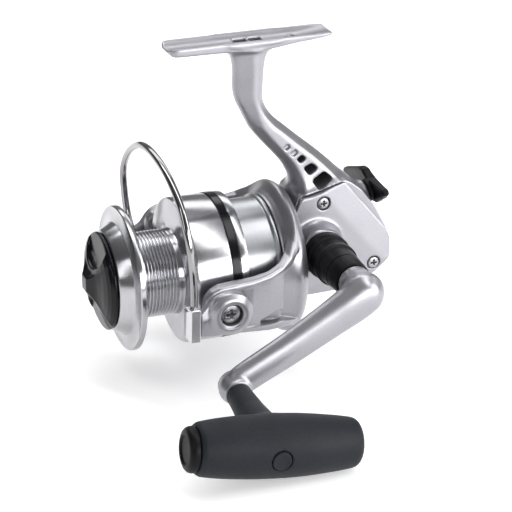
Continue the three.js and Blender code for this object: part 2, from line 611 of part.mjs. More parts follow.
add(bailAxis, 'bail_lever_near', nearLever(), SILVER_PAINT);
add(bailAxis, 'bail_lever_far', farLever(), SILVER_PAINT);
add(bailAxis, 'bail_screw_near', screwY(3.7, 1.6, 1.9, 9.4, 2).translate(0, -LEVER_OUT + 0.6, 0), STEEL);
add(bailAxis, 'bail_screw_far', screwY(3.7, 1.6, 1.9, 9.4, 2).rotateZ(Math.PI)
  .translate(0, LEVER_OUT - 0.6, 0), STEEL);
add(bailAxis, 'wire_block', new THREE.BoxGeometry(5.2, 4.1, 12.6)
  .translate(14.6 - BAIL_X, -37.15, -1.9), POLISHED);
add(bailAxis, 'bail_wire', bailWire(), POLISHED);
add(bailAxis, 'wire_cone', latheY([[-28.2, 1.6], [-28.2, 2.6], [-29, 3.4], [-31.1, 3.6], [-31.1, 1.6]], 16)
  .translate(rollerX, 0, rollerZ), POLISHED);
add(bailAxis, 'roller_screw', latheY([[-28, 0], [-28, 1.3], [-40.2, 1.3], [-40.2, 0]], 12, false)
  .translate(rollerX, 0, rollerZ), STEEL);
add(bailAxis, 'line_roller', latheY([[-31.4, 1.7], [-31.4, 3.8], [-32.4, 3.1], [-33.8, 3.1], [-34.8, 3.8],
  [-34.8, 1.7]], 16).translate(rollerX, 0, rollerZ), POLISHED);

// ---------------------------------------------------------------- main shaft, oscillation and spool
add(spoolAxis, 'main_shaft', ringX(-11, 84.5, SHAFT_R, 0, 16), STEEL);

function crosshead() {
  const block = new THREE.BoxGeometry(3.6, 6.4, 16.2).translate(78.5, 0, 1);
  const plate = new THREE.BoxGeometry(3.6, 1.8, 16).translate(78.5, 3.7, 0.9);
  return cut(join(block, plate),
    ringX(70, 90, SHAFT_R + GAP, 0, 16),
    new THREE.BoxGeometry(2.8, 2.4, 13.8).translate(78.5, 4.4, OSC_Z),
    ringX(70, 90, 1.4, 0, 12).translate(0, -1.2, -4.7),
    ringX(70, 90, 1.4, 0, 12).translate(0, -1.2, 6.6));
}

function oscillatingGear() {
  const mate = Math.atan2(DRIVE_Z - OSC_Z, DRIVE_X - OSC_X);
  const disc = spurGear(OSC_TEETH, 9.525, 0.35, 0.9, 5.9, 7.8, mate + Math.PI / OSC_TEETH);
  const pin = ringY(-6.2, -5, 1.2, 0, 12).translate(-OSC_THROW, 0, -OSC_Z);
  const bore = ringY(-9, -5, 1.9, 0, 14);
  return cut(join(disc, pin), bore);
}

add(spoolAxis, 'crosshead', crosshead(), ZINC);
const oscAxis = group(spoolAxis, OSC_X, 0, OSC_Z);
add(oscAxis, 'oscillating_gear', oscillatingGear(), ZINC);
add(oscAxis, 'oscillating_gear_pin', ringY(-9.1, -5.3, 1.6, 0, 14), STEEL);
add(spoolAxis, 'spool_support', ringX(24.6, 26, 4.6, SHAFT_R + GAP, 16), BRASS);

function spool() {
  return latheX([[-5.3, 14], [-5.3, 17.4], [-5, 17.9], [-0.7, 20.1], [0.5, 24], [0, 25.4], [0.5, LIP_R], [2.1, LIP_R],
    [2.8, 25.2], [3.8, 19.4], [4.8, 15.4], [19.2, 15.4], [19.9, 16.2], [SKIRT_FRONT_X, 25.2],
    [SKIRT_FRONT_X + 0.7, SKIRT_R], [BAND_X0, SKIRT_R], [BAND_X0, 25.6], [BAND_X1 + 0.2, 25.6],
    [BAND_X1 + 0.2, SKIRT_R], [39.6, SKIRT_R], [SKIRT_REAR_X, 25.8], [SKIRT_REAR_X, 25], [22.8, 24.8],
    [22.2, 24], [22.2, 13.6], [6.8, 13.6], [6.8, 5.4], [24.3, 5.4], [24.3, SPOOL_BORE_R], [4, SPOOL_BORE_R],
    [4, 14]], 30);
}

add(spoolAxis, 'spool', spool(), POLISHED);
add(spoolAxis, 'spool_band', latheX([[BAND_X0 + GAP, 25.9], [BAND_X0 + GAP, 26.3], [BAND_X1 - 0.1, 26.3],
  [BAND_X1 - 0.1, 25.9]], 30), BLACK_GLOSS);
const WASHERS = [['drag_washer_key_1', 3.0, 3.7, STEEL], ['drag_washer_felt_1', 2.0, 2.7, FELT],
  ['drag_washer_ear', 1.0, 1.7, STEEL], ['drag_washer_felt_2', 0.0, 0.7, FELT],
  ['drag_washer_key_2', -1.0, -0.3, STEEL]];
for (const [name, x0, x1, look] of WASHERS) {
  add(spoolAxis, name, ringX(x0, x1, 13.3, 2.6, 14), look);
}

function dragKnob() {
  const cone = latheX([[-5.6, 0], [-5.6, 17], [-6, 17.6], [-6.9, 17.4], [-8.4, 14], [-10.4, 9.6], [-12, 6.4],
    [-12.9, 4.2], [-13, 0]], 26, false);
  const scoops = [-1, 1].map((side) => new THREE.CylinderGeometry(14, 14, 10, 28)
    .rotateZ(Math.PI / 2).translate(-12, 0, side * 18.4));
  const pocket = ringX(-9.8, -4, 3.6, 0, 16);
  const bore = ringX(-11.4, -4, 2.4, 0, 16);
  return cut(cone, ...scoops, pocket, bore);
}

add(spoolAxis, 'drag_knob', dragKnob(), BLACK_GLOSS);
add(spoolAxis, 'drag_nut', hexNut(-9.4, -6.2, 3.3, 2.3), BRASS);
add(spoolAxis, 'drag_spring', ringX(-5.2, -1.6, 3.5, 2.5, 16), STEEL);

// ---------------------------------------------------------------- anti-reverse lever
const antiAxis = group(spoolAxis, ANTI_X, 0, ANTI_Z);
antiAxis.rotation.y = -ANTI_TILT;
const ANTI_OUTLINE = [
  [26.8, -2.1], [24.8, -0.4], [21.4, 1], [6.9, 6.4], [4.2, 6.6], [2.3, 5.4], [-0.5, 4.3], [-7.7, 4.1], [-12.6, 4.3],
  [-14, 3.4], [-13.8, 2.2], [-11, 0], [-5.8, -3], [-3.6, -4.4], [0, -4.8], [3.6, -4.4], [7.4, -3.6], [17.6, -3.3],
  [24.4, -2.9],
];

function antiLever() {
  const blade = slabYZ(ANTI_OUTLINE, -0.4, 3);
  const hub = ringX(-1.7, 1, 4.3, 0, 16);
  return cut(join(blade, hub), ringX(-4, 1.4, 2.1, 0, 14));
}

add(antiAxis, 'anti_reverse_lever', antiLever(), BLACK_PLASTIC);
add(antiAxis, 'anti_reverse_shaft', ringX(-7.4, 1.1, 1.7, 0, 14), STEEL);

export default reel;
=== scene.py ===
# Fixed-spool fishing reel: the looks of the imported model.
# Shapes are worked out in millimetres on the spool axis: X back from the spool's lip, +Z towards the rod,
# -Y the crank side. piece() takes them to the row frame in metres. In a shape's function, f is its block of
# samples and d the distance from each sample to the surface, negative inside.
import json
import math

import bpy
import numpy as np
from mathutils import Matrix, Vector


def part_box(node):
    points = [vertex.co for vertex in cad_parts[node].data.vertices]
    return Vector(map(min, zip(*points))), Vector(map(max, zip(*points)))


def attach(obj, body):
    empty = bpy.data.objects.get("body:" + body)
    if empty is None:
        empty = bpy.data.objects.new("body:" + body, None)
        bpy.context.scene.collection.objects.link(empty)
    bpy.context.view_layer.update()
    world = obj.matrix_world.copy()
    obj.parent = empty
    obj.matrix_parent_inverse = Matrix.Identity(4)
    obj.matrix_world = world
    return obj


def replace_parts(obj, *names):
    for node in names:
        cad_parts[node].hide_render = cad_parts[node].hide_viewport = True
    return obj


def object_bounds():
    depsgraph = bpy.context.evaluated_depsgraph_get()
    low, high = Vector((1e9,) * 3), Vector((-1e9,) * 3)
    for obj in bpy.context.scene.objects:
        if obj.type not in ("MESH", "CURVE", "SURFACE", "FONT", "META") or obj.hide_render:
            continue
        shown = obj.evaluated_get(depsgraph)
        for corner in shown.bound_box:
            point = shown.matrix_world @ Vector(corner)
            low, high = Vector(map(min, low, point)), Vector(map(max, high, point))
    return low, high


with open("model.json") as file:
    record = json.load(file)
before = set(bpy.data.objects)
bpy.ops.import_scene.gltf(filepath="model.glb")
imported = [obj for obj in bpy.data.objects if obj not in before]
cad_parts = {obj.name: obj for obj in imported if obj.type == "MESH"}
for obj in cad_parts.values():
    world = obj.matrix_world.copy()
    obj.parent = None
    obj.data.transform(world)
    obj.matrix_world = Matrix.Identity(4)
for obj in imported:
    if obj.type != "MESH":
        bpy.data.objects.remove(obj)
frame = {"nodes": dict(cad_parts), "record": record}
cad_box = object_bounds()
RECORD = frame["record"]
JOINTS = {j["name"]: j for j in RECORD["behaviour"]["joints"]}
BODIES = {node: body for body, nodes in RECORD["behaviour"]["bodies"].items() for node in nodes}
SLOTS = {part["node"]: part["material_slot"] for part in RECORD["subparts"]}

CONE_FRONT = 5.3                   # the spool's front ring stands this far in front of its lip
ORIGIN = Vector((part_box("spool")[0].x + CONE_FRONT / 1000, 0, JOINTS["rotor_spin"]["pos_m"][2]))


def in_reel(name):
    """Where a joint sits, in millimetres on the spool axis."""
    return (Vector(JOINTS[name]["pos_m"]) - ORIGIN) * 1000


DRIVE = in_reel("handle_turn")
BAIL = in_reel("bail_flip")
CRANK_END = in_reel("knob_turn")
ANTI = in_reel("anti_reverse_flip")
KNOB_DIR = Vector(JOINTS["knob_turn"]["axis"]).normalized()
ROTOR_REST = math.atan2(JOINTS["roller_spin"]["axis"][2], JOINTS["roller_spin"]["axis"][1])
ANTI_TILT = math.atan2(JOINTS["anti_reverse_flip"]["axis"][2], JOINTS["anti_reverse_flip"]["axis"][0])

# ---------------- camera, light and floor

CAMERA_AIM = Vector((0.011658, 0, -0.081826))
CAMERA_SIDE = Vector((-0.32460, -0.85995, 0.39387)).normalized()       # from the aim to the camera
CAMERA_AWAY = 0.79366              # metres; the view is the photo's, as fitted for the CAD
LENS, SENSOR = 154.69, 36
LIGHT_AIM = Vector((0.0, -0.02, -0.07))
LIGHTS = [                         # name, place, size, watts
    ("top strip", (0.1, 0.05, 0.85), (2.0, 0.3), 9),
    ("front box", (0.5, -1.3, 0.3), (1.4, 0.55), 17),
    ("left strip", (-0.85, -0.45, 0.42), (0.1, 0.6), 1.4),
    ("right box", (0.9, -0.5, 0.3), (0.5, 0.7), 6),
    ("rear fill", (0.3, 1.1, 0.8), (1.6, 0.5), 6),
]
SKY = [(0, 0.5), (0.44, 0.4), (0.5, 0.14), (0.58, 0.3), (0.72, 0.12), (1, 0.34)]    # height, brightness
SKY_LEFT, SKY_RIGHT = 0.45, 1.35   # the sky's brightness is scaled by these from left to right
FLOOR_SIZE, FLOOR_CELLS = 6.0, 24
FLOOR_GAP = 0.0002                 # the floor lies this far under the reel


def aim_at(thing, place, target):
    """Puts a camera or light at a place, looking at a target."""
    thing.location = place
    thing.rotation_mode = "QUATERNION"
    thing.rotation_quaternion = (target - Vector(place)).to_track_quat("-Z", "Y")
    bpy.context.scene.collection.objects.link(thing)


def make_camera():
    data = bpy.data.cameras.new("camera")
    data.lens, data.sensor_width = LENS, SENSOR
    data.clip_start, data.clip_end = 0.01, 20
    camera = bpy.data.objects.new("camera", data)
    aim_at(camera, CAMERA_AIM + CAMERA_SIDE * CAMERA_AWAY, CAMERA_AIM)
    bpy.context.scene.camera = camera


def make_lights():
    for name, place, size, power in LIGHTS:
        data = bpy.data.lights.new(name, "AREA")
        data.shape, data.size, data.size_y = "RECTANGLE", size[0], size[1]
        data.energy = power
        aim_at(bpy.data.objects.new(name, data), place, LIGHT_AIM)


def make_world():
    """A grey sky in bands, for the metal to reflect."""
    world = bpy.data.worlds.new("studio")
    bpy.context.scene.world = world
    world.use_nodes = True
    nodes, links = world.node_tree.nodes, world.node_tree.links
    nodes.clear()
    out = nodes.new("ShaderNodeOutputWorld")
    background = nodes.new("ShaderNodeBackground")
    where = nodes.new("ShaderNodeTexCoord")
    split = nodes.new("ShaderNodeSeparateXYZ")
    ramp = nodes.new("ShaderNodeValToRGB")
    for at, _ in SKY[1:-1]:
        ramp.color_ramp.elements.new(at)
    for element, (_, value) in zip(ramp.color_ramp.elements, SKY):
        element.color = (value, value, value * 1.01, 1)
    lift = nodes.new("ShaderNodeMath")             # takes -1..1 to 0..1
    lift.operation = "MULTIPLY_ADD"
    lift.inputs[1].default_value, lift.inputs[2].default_value = 0.5, 0.5
    links.new(where.outputs["Generated"], split.inputs[0])
    links.new(split.outputs["Z"], lift.inputs[0])
    links.new(lift.outputs[0], ramp.inputs[0])
    side = nodes.new("ShaderNodeMapRange")
    side.inputs["From Min"].default_value, side.inputs["From Max"].default_value = -1, 1
    side.inputs["To Min"].default_value, side.inputs["To Max"].default_value = SKY_LEFT, SKY_RIGHT
    links.new(split.outputs["X"], side.inputs["Value"])
    shade = nodes.new("ShaderNodeVectorMath")
    shade.operation = "SCALE"
    links.new(ramp.outputs[0], shade.inputs[0])
    links.new(side.outputs[0], shade.inputs["Scale"])
    links.new(shade.outputs[0], background.inputs["Color"])
    links.new(background.outputs[0], out.inputs["Surface"])


def make_floor():
    low = cad_box[0].z - FLOOR_GAP
    along = [(i / FLOOR_CELLS - 0.5) * FLOOR_SIZE for i in range(FLOOR_CELLS + 1)]
    row = len(along)
    quads = [(i * row + j, (i + 1) * row + j, (i + 1) * row + j + 1, i * row + j + 1)
             for i in range(FLOOR_CELLS) for j in range(FLOOR_CELLS)]
    mesh = bpy.data.meshes.new("floor")
    mesh.from_pydata([(x, y, low) for x in along for y in along], [], quads)
    mesh.materials.append(FLOOR)
    floor = bpy.data.objects.new("floor", mesh)
    bpy.context.scene.collection.objects.link(floor)


# ---------------- distance fields, for the castings


def poly(points, u, v):
    """Signed distance to a closed outline over two axes of samples, negative inside."""
    uu, vv = np.meshgrid(u, v, indexing="ij")
    far = np.full(uu.shape, 1e9)
    inside = np.zeros(uu.shape, bool)
    for (x0, y0), (x1, y1) in zip(points, points[1:] + points[:1]):
        ex, ey = x1 - x0, y1 - y0
        t = np.clip(((uu - x0) * ex + (vv - y0) * ey) / (ex * ex + ey * ey + 1e-12), 0, 1)
        far = np.minimum(far, np.hypot(uu - x0 - t * ex, vv - y0 - t * ey))
        if ey:
            inside ^= ((y0 <= vv) != (y1 <= vv)) & (uu < x0 + (vv - y0) * ex / ey)
    return np.where(inside, -far, far)


def smin(a, b, k):
    """Joins two shapes with a fillet, k wide at most."""
    h = np.maximum(k - np.abs(a - b), 0) / k
    return np.minimum(a, b) - h * h * k / 4


def smax(a, b, k):
    """What two shapes share, its edges rounded likewise."""
    return -smin(-a, -b, k)


def cut(d, tool, k=0):
    """Takes a shape away, with the edge rounded by k if there is one."""
    return smax(d, -tool, k) if k else np.maximum(d, -tool)


def chaikin(points, times, keep=0.25):
    """Rounds a closed outline by cutting off its corners, at the part `keep` of each edge."""
    for _ in range(times):
        rounded = []
        for (x0, y0), (x1, y1) in zip(points, points[1:] + points[:1]):
            rounded.append((x0 + (x1 - x0) * keep, y0 + (y1 - y0) * keep))
            rounded.append((x1 + (x0 - x1) * keep, y1 + (y0 - y1) * keep))
        points = rounded
    return points


def bar(start, end, radius):
    """The profile of a plain round bar."""
    return [(start, 0), (start, radius), (end, radius), (end, 0)]


def curve(rows, count):
    """A smooth table through the rows: Catmull-Rom in every column."""
    rows = np.array(rows, float)
    rows = np.vstack([2 * rows[0] - rows[1], rows, 2 * rows[-1] - rows[-2]])
    made = []
    for s in np.linspace(0, len(rows) - 3 - 1e-9, count):
        i = int(s)
        t = s - i
        a, b, c, d = rows[i:i + 4]
        made.append(0.5 * (2 * b + (c - a) * t + (2 * a - 5 * b + 4 * c - d) * t * t
                           + (3 * b - a - 3 * c + d) * t ** 3))
    return np.array(made)


OFF_GRID = (0.37, 0.43, 0.29)      # keeps flat faces off the planes of samples
CORNERS = [(i, j, k) for i in (0, 1) for j in (0, 1) for k in (0, 1)]
FAR_OFF = 9.0                      # a distance that stands for "outside"


class Field:
    """A block of samples, in millimetres, on which distances are worked out and then skinned."""

    def __init__(self, low, high, step):
        self.step = step
        self.low = np.array(low, float) - np.array(OFF_GRID) * step
        self.x, self.y, self.z = [np.arange(a, b + step, step) for a, b in zip(self.low, high)]
        self.X = self.x[:, None, None]
        self.Y = self.y[None, :, None]
        self.Z = self.z[None, None, :]

    def xz(self, points):
        return poly(list(points), self.x, self.z)[:, None, :]

    def xy(self, points):
        return poly(list(points), self.x, self.y)[:, :, None]

    def yz(self, points):
        return poly(list(points), self.y, self.z)[None, :, :]

    def turned_x(self, profile, y0=0, z0=0):
        """A profile of (x, radius) turned about a line along X. One that reaches radius 0 comes out solid."""
        return self._turned(profile, self.x, np.hypot(self.y[:, None] - y0, self.z[None, :] - z0))

    def turned_y(self, profile, x0=0, z0=0):
        """The same for a profile of (out along -Y, radius) and a line along Y."""
        made = self._turned(profile, -self.y, np.hypot(self.x[:, None] - x0, self.z[None, :] - z0))
        return made.transpose(1, 0, 2)

    def _turned(self, profile, along, r):
        fine = self.step / 2
        radii = np.arange(0, r.max() + 3 * fine, fine)
        points = list(profile)
        if min(radius for _, radius in points) == 0:
            points += [(a, -radius) for a, radius in reversed(points)]
        table = poly(points, along, radii)
        low = (r / fine).astype(int)
        w = r / fine - low
        return table[:, low] * (1 - w) + table[:, low + 1] * w

    def rod(self, start, end, r0, r1):
        """A round bar that tapers from r0 to r1."""
        start, end = np.array(start, float), np.array(end, float)
        length = np.linalg.norm(end - start)
        d = (end - start) / length
        px, py, pz = self.X - start[0], self.Y - start[1], self.Z - start[2]
        t = px * d[0] + py * d[1] + pz * d[2]
        off = np.sqrt(np.maximum(px * px + py * py + pz * pz - t * t, 0))
        return np.maximum(off - (r0 + (r1 - r0) * np.clip(t / length, 0, 1)), np.maximum(-t, t - length))

    def skin(self, d):
        """Vertices and quads of the zero surface (surface nets), closed at the faces of the block."""
        d = np.broadcast_to(d, (len(self.x), len(self.y), len(self.z))).copy()
        for axis in range(3):
            edge = [slice(None)] * 3
            for side in (0, -1):
                edge[axis] = side
                d[tuple(edge)] = np.maximum(d[tuple(edge)], 0.01)
        inside = d < 0
        shape = [n - 1 for n in d.shape]

        def at(a, c):
            return a[c[0]:c[0] + shape[0], c[1]:c[1] + shape[1], c[2]:c[2] + shape[2]]

        total = sum(at(inside, c).astype(np.int8) for c in CORNERS)
        mixed = (total > 0) & (total < 8)
        number = np.full(shape, -1, np.int64)
        cells = np.argwhere(mixed)
        number[mixed] = np.arange(len(cells))
        values = {c: at(d, c)[mixed] for c in CORNERS}
        place = np.zeros((len(cells), 3))
        crossings = np.zeros(len(cells))
        for a in CORNERS:
            for axis in range(3):
                if a[axis]:
                    continue
                b = tuple(1 if i == axis else a[i] for i in range(3))
                va, vb = values[a], values[b]
                hit = (va < 0) != (vb < 0)
                t = np.where(hit, va / np.where(hit, va - vb, 1), 0)
                point = np.tile(np.array(a, float), (len(cells), 1))
                point[:, axis] = t
                place += np.where(hit[:, None], point, 0)
                crossings += hit
        verts = (cells + place / crossings[:, None]) * self.step + self.low
        quads = []
        for axis in range(3):
            u, v = [(1, 2), (2, 0), (0, 1)][axis]
            lo = [slice(1, -1)] * 3
            hi = [slice(1, -1)] * 3
            lo[axis], hi[axis] = slice(0, -1), slice(1, None)
            a, b = inside[tuple(lo)], inside[tuple(hi)]
            for flag, turn in ((a & ~b, False), (~a & b, True)):
                where = np.argwhere(flag) + 1
                where[:, axis] -= 1
                ring = []
                for du, dv in ((-1, -1), (0, -1), (0, 0), (-1, 0)):
                    cell = where.copy()
                    cell[:, u] += du
                    cell[:, v] += dv
                    ring.append(number[cell[:, 0], cell[:, 1], cell[:, 2]])
                quad = np.stack(ring, 1)
                quads.append(quad[:, ::-1] if turn else quad)
        quads = np.vstack(quads)
        verts = self._settle(d, self._smooth(verts, quads, 3))
        return self._smooth(self._settle(d, verts), quads, 3), quads

    @staticmethod
    def _smooth(verts, quads, rounds):
        """Takes out the stair steps of the samples, and puts back what that shrinks."""
        start, end = np.vstack([quads[:, [i, (i + 1) % 4]] for i in range(4)]).T
        count = np.maximum(np.bincount(start, minlength=len(verts)), 1)[:, None]
        for weight in (0.5, -0.52) * rounds:
            total = np.stack([np.bincount(start, verts[end, i], len(verts)) for i in range(3)], 1)
            verts = verts + weight * (total / count - verts)
        return verts

    def _settle(self, d, verts):
        """Moves vertices onto the zero surface, down the slope of the samples around each."""
        place = (verts - self.low) / self.step
        cell = np.clip(place.astype(int), 0, np.array(d.shape) - 2)
        w = place - cell
        value, slope = np.zeros(len(verts)), np.zeros((len(verts), 3))
        for corner in CORNERS:
            part = [w[:, n] if corner[n] else 1 - w[:, n] for n in range(3)]
            sample = d[cell[:, 0] + corner[0], cell[:, 1] + corner[1], cell[:, 2] + corner[2]]
            value += sample * part[0] * part[1] * part[2]
            for n in range(3):
                slope[:, n] += sample * (1 if corner[n] else -1) * part[(n + 1) % 3] * part[(n + 2) % 3]
        steep = np.maximum((slope ** 2).sum(1), 1e-4)
        move = -(value / steep)[:, None] * slope
        far = np.maximum(np.linalg.norm(move, axis=1), 1e-9)[:, None]
        return verts + move * np.minimum(1, 0.5 / far) * self.step


# ---------------- meshes

CREASE = math.radians(32)          # turned pieces show an edge where faces meet at more than this
AT_REEL = Matrix.Identity(4)
AT_ROTOR = Matrix.Rotation(ROTOR_REST, 4, "X")
AT_BAIL = AT_ROTOR @ Matrix.Translation((BAIL.x, 0, 0))
AT_DRIVE = Matrix.Translation((DRIVE.x, 0, DRIVE.z))
AT_ANTI = Matrix.Translation(ANTI) @ Matrix.Rotation(-ANTI_TILT, 4, "Y")


def piece(name, verts, faces, at, body, slot, look=None):
    """A mesh in millimetres, put where `at` says, riding on a body, with its slot's look or a given one."""
    place = np.array(at)
    verts = np.asarray(verts, float) @ place[:3, :3].T + place[:3, 3]
    verts = verts / 1000 + np.array(ORIGIN)
    mesh = bpy.data.meshes.new(name)
    mesh.from_pydata(verts.tolist(), [], faces if isinstance(faces, list) else faces.tolist())
    mesh.validate()
    mesh.shade_smooth()
    if isinstance(faces, list):
        mesh.set_sharp_from_angle(angle=CREASE)
    thing = bpy.data.objects.new(name, mesh)
    bpy.context.scene.collection.objects.link(thing)
    mesh.materials.append(look or LOOKS[slot])
    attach(thing, body)
    return thing


def stand_in(name, verts, faces, at, node, look=None):
    """A piece that is shown in place of a CAD node, riding on the node's body, with the look of the node's
    slot or a given one.
    """
    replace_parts(piece(name, verts, faces, at, BODIES[node], SLOTS[node], look), node)


BEVEL_STEPS = 3


def lathe(profile, segments, axis="X", bevel=0.0):
    """Turns a closed or open-to-axis profile of (along, radius); corners are rounded by bevel."""
    points = [Vector(p) for p in profile]
    closed = min(p[1] for p in points) > 1e-6
    if bevel:
        made = []
        for i, p in enumerate(points):
            a, b = points[i - 1], points[(i + 1) % len(points)]
            if not closed and i in (0, len(points) - 1):
                made.append(p)
                continue
            u, v = (a - p), (b - p)
            r = min(bevel, u.length * 0.45, v.length * 0.45)
            start, end = p + u.normalized() * r, p + v.normalized() * r
            for s in range(BEVEL_STEPS + 1):
                t = s / BEVEL_STEPS
                made.append(start * (1 - t) ** 2 + p * 2 * t * (1 - t) + end * t * t)
        points = made
    verts, rows = [], []
    for p in points:
        if p[1] < 1e-6:
            rows.append([len(verts)] * segments)
            verts.append((p[0], 0, 0))
            continue
        rows.append(list(range(len(verts), len(verts) + segments)))
        for i in range(segments):
            a = 2 * math.pi * i / segments
            verts.append((p[0], p[1] * math.cos(a), p[1] * math.sin(a)))
    pairs = list(zip(rows, rows[1:] + rows[:1])) if closed else list(zip(rows, rows[1:]))
    faces = []
    for one, two in pairs:
        for i in range(segments):
            j = (i + 1) % segments
            ring = [one[i], two[i], two[j], one[j]]
            ring = [v for n, v in enumerate(ring) if v != ring[n - 1]]
            if len(ring) > 2:
                faces.append(ring)
    co = np.array(verts)
    if axis == "Y":                # along becomes -Y
        co = np.stack([co[:, 1], -co[:, 0], co[:, 2]], 1)
    volume = sum(np.dot(co[f[0]], np.cross(co[f[1]], co[f[2]])) for f in faces[::7])
    if volume < 0:
        faces = [f[::-1] for f in faces]
    return co, faces


def tube(path, radius, sides):
    """A round wire along a dense path of points."""
    path = [Vector(p) for p in path]
    verts, faces = [], []
    tangent = (path[1] - path[0]).normalized()
    side = tangent.orthogonal().normalized()
    for i, p in enumerate(path):
        t = (path[min(i + 1, len(path) - 1)] - path[max(i - 1, 0)]).normalized()
        side = (side - t * side.dot(t)).normalized()
        up = t.cross(side)
        for k in range(sides):
            a = 2 * math.pi * k / sides
            verts.append(p + (side * math.cos(a) + up * math.sin(a)) * radius)
    for i in range(len(path) - 1):
        for k in range(sides):
            j = (k + 1) % sides
            faces.append([i * sides + k, i * sides + j, (i + 1) * sides + j, (i + 1) * sides + k])
    faces.append(list(range(sides))[::-1])
    faces.append([(len(path) - 1) * sides + k for k in range(sides)])
    return np.array([tuple(v) for v in verts]), faces


# ---------------- materials

RELIEF = 0.0002                    # full height of any bump, in metres


def material(name, color, roughness, spread=0.05, grain=1500, bump=0.05, tint=0.1, metallic=0.0,
             stretch=(1, 1, 1), aniso=0.0, turn_axis=None, coat=0.0, specular=0.5, ior=1.5, sheen=0.0,
             pebbles=None, glow=0.0):
    """A procedural finish. Roughness varies by spread and colour by tint, and grains stand out by bump.
    Pebbles, (scale, strength), are a second relief."""
    mat = bpy.data.materials.new(name)
    mat.use_nodes = True
    nodes, links = mat.node_tree.nodes, mat.node_tree.links
    shader = nodes["Principled BSDF"]
    shader.inputs["Metallic"].default_value = metallic
    shader.inputs["Anisotropic"].default_value = aniso
    shader.inputs["Anisotropic Rotation"].default_value = 0.25
    shader.inputs["Coat Weight"].default_value = coat
    shader.inputs["Coat Roughness"].default_value = 0.12
    shader.inputs["Specular IOR Level"].default_value = specular
    shader.inputs["IOR"].default_value = ior
    shader.inputs["Sheen Weight"].default_value = sheen
    shader.inputs["Emission Strength"].default_value = glow
    where = nodes.new("ShaderNodeTexCoord")
    scale = nodes.new("ShaderNodeMapping")
    scale.inputs["Scale"].default_value = stretch
    links.new(where.outputs["Object"], scale.inputs["Vector"])

    def noise(size, detail, source):
        texture = nodes.new("ShaderNodeTexNoise")
        texture.inputs["Scale"].default_value = size
        texture.inputs["Detail"].default_value = detail
        links.new(source, texture.inputs["Vector"])
        return texture.outputs["Fac"]

    def between(source, low, high):
        span = nodes.new("ShaderNodeMapRange")
        span.inputs["From Min"].default_value, span.inputs["From Max"].default_value = 0.3, 0.7
        span.inputs["To Min"].default_value, span.inputs["To Max"].default_value = low, high
        links.new(source, span.inputs["Value"])
        return span.outputs[0]

    blotch = noise(90, 4, where.outputs["Object"])
    grains = noise(grain, 6, scale.outputs["Vector"])
    uneven = between(blotch, roughness - spread, roughness + spread)
    links.new(uneven, shader.inputs["Roughness"])
    mix = nodes.new("ShaderNodeMix")
    mix.data_type = "RGBA"
    dark = [c * (1 - tint) for c in color]
    light = [min(c * (1 + tint), 1) for c in color]
    mix.inputs["A"].default_value = (*dark, 1)
    mix.inputs["B"].default_value = (*light, 1)
    links.new(between(grains, 0, 1), mix.inputs["Factor"])
    links.new(mix.outputs["Result"], shader.inputs["Base Color"])
    relief = nodes.new("ShaderNodeBump")
    relief.inputs["Strength"].default_value = bump
    relief.inputs["Distance"].default_value = RELIEF
    links.new(grains, relief.inputs["Height"])
    normal = relief.outputs["Normal"]
    if pebbles:
        cells = nodes.new("ShaderNodeTexVoronoi")
        cells.inputs["Scale"].default_value = pebbles[0]
        links.new(where.outputs["Object"], cells.inputs["Vector"])
        pebble = nodes.new("ShaderNodeBump")
        pebble.inputs["Strength"].default_value = pebbles[1]
        pebble.inputs["Distance"].default_value = RELIEF
        links.new(cells.outputs["Distance"], pebble.inputs["Height"])
        links.new(normal, pebble.inputs["Normal"])
        normal = pebble.outputs["Normal"]
    links.new(normal, shader.inputs["Normal"])
    if turn_axis:
        tangent = nodes.new("ShaderNodeTangent")
        tangent.direction_type = "RADIAL"
        tangent.axis = turn_axis
        links.new(tangent.outputs["Tangent"], shader.inputs["Tangent"])
    return mat


SILVER = material("silver enamel", (0.32, 0.315, 0.34), 0.36, grain=2600, bump=0.06, tint=0.07, metallic=0.8,
                  coat=0.15)
SATIN = material("satin turned aluminium", (0.40, 0.41, 0.43), 0.36, spread=0.04, grain=700, bump=0.06,
                 tint=0.06, metallic=1.0, stretch=(6, 0.35, 0.35), aniso=0.6, turn_axis="X")
POLISHED = material("polished turned aluminium", (0.43, 0.43, 0.45), 0.22, spread=0.03, grain=800, bump=0.04,
                    tint=0.05, metallic=1.0, stretch=(7, 0.3, 0.3), aniso=0.75, turn_axis="X")
CHROME = material("chrome plate", (0.31, 0.30, 0.31), 0.12, spread=0.02, grain=300, bump=0.01, tint=0.02,
                  metallic=1.0)
BRUSHED = material("brushed plate", (0.60, 0.60, 0.62), 0.34, spread=0.04, grain=900, bump=0.04, tint=0.05,
                   metallic=1.0, stretch=(0.4, 0.4, 5))
STEEL = material("machined steel", (0.34, 0.34, 0.35), 0.26, spread=0.06, metallic=1.0)
BRASS = material("machined brass", (0.62, 0.44, 0.19), 0.3, spread=0.06, metallic=1.0)
ZINC = material("bare zinc casting", (0.44, 0.44, 0.43), 0.5, spread=0.07, grain=2400, bump=0.12,
                metallic=0.9)
BLACK = material("black moulding", (0.005, 0.005, 0.0062), 0.4, grain=2200, bump=0.06, tint=0.2, ior=1.2)
GLOSS = material("black gloss moulding", (0.004, 0.004, 0.006), 0.18, spread=0.04, grain=1800, bump=0.02,
                 tint=0.2, specular=0.2)
GRIP = material("soft-touch grip", (0.006, 0.008, 0.0115), 0.58, grain=2600, bump=0.1, tint=0.3,
                specular=0.22, sheen=0.03, pebbles=(1500, 0.22))
FELT = material("pressed felt", (0.2, 0.18, 0.15), 0.92, grain=4000, bump=0.5, tint=0.2, sheen=0.4)
FLOOR = material("pale floor", (0.93, 0.93, 0.935), 0.75, spread=0.03, grain=60, bump=0.01, tint=0.006,
                 specular=0.15, glow=0.3)
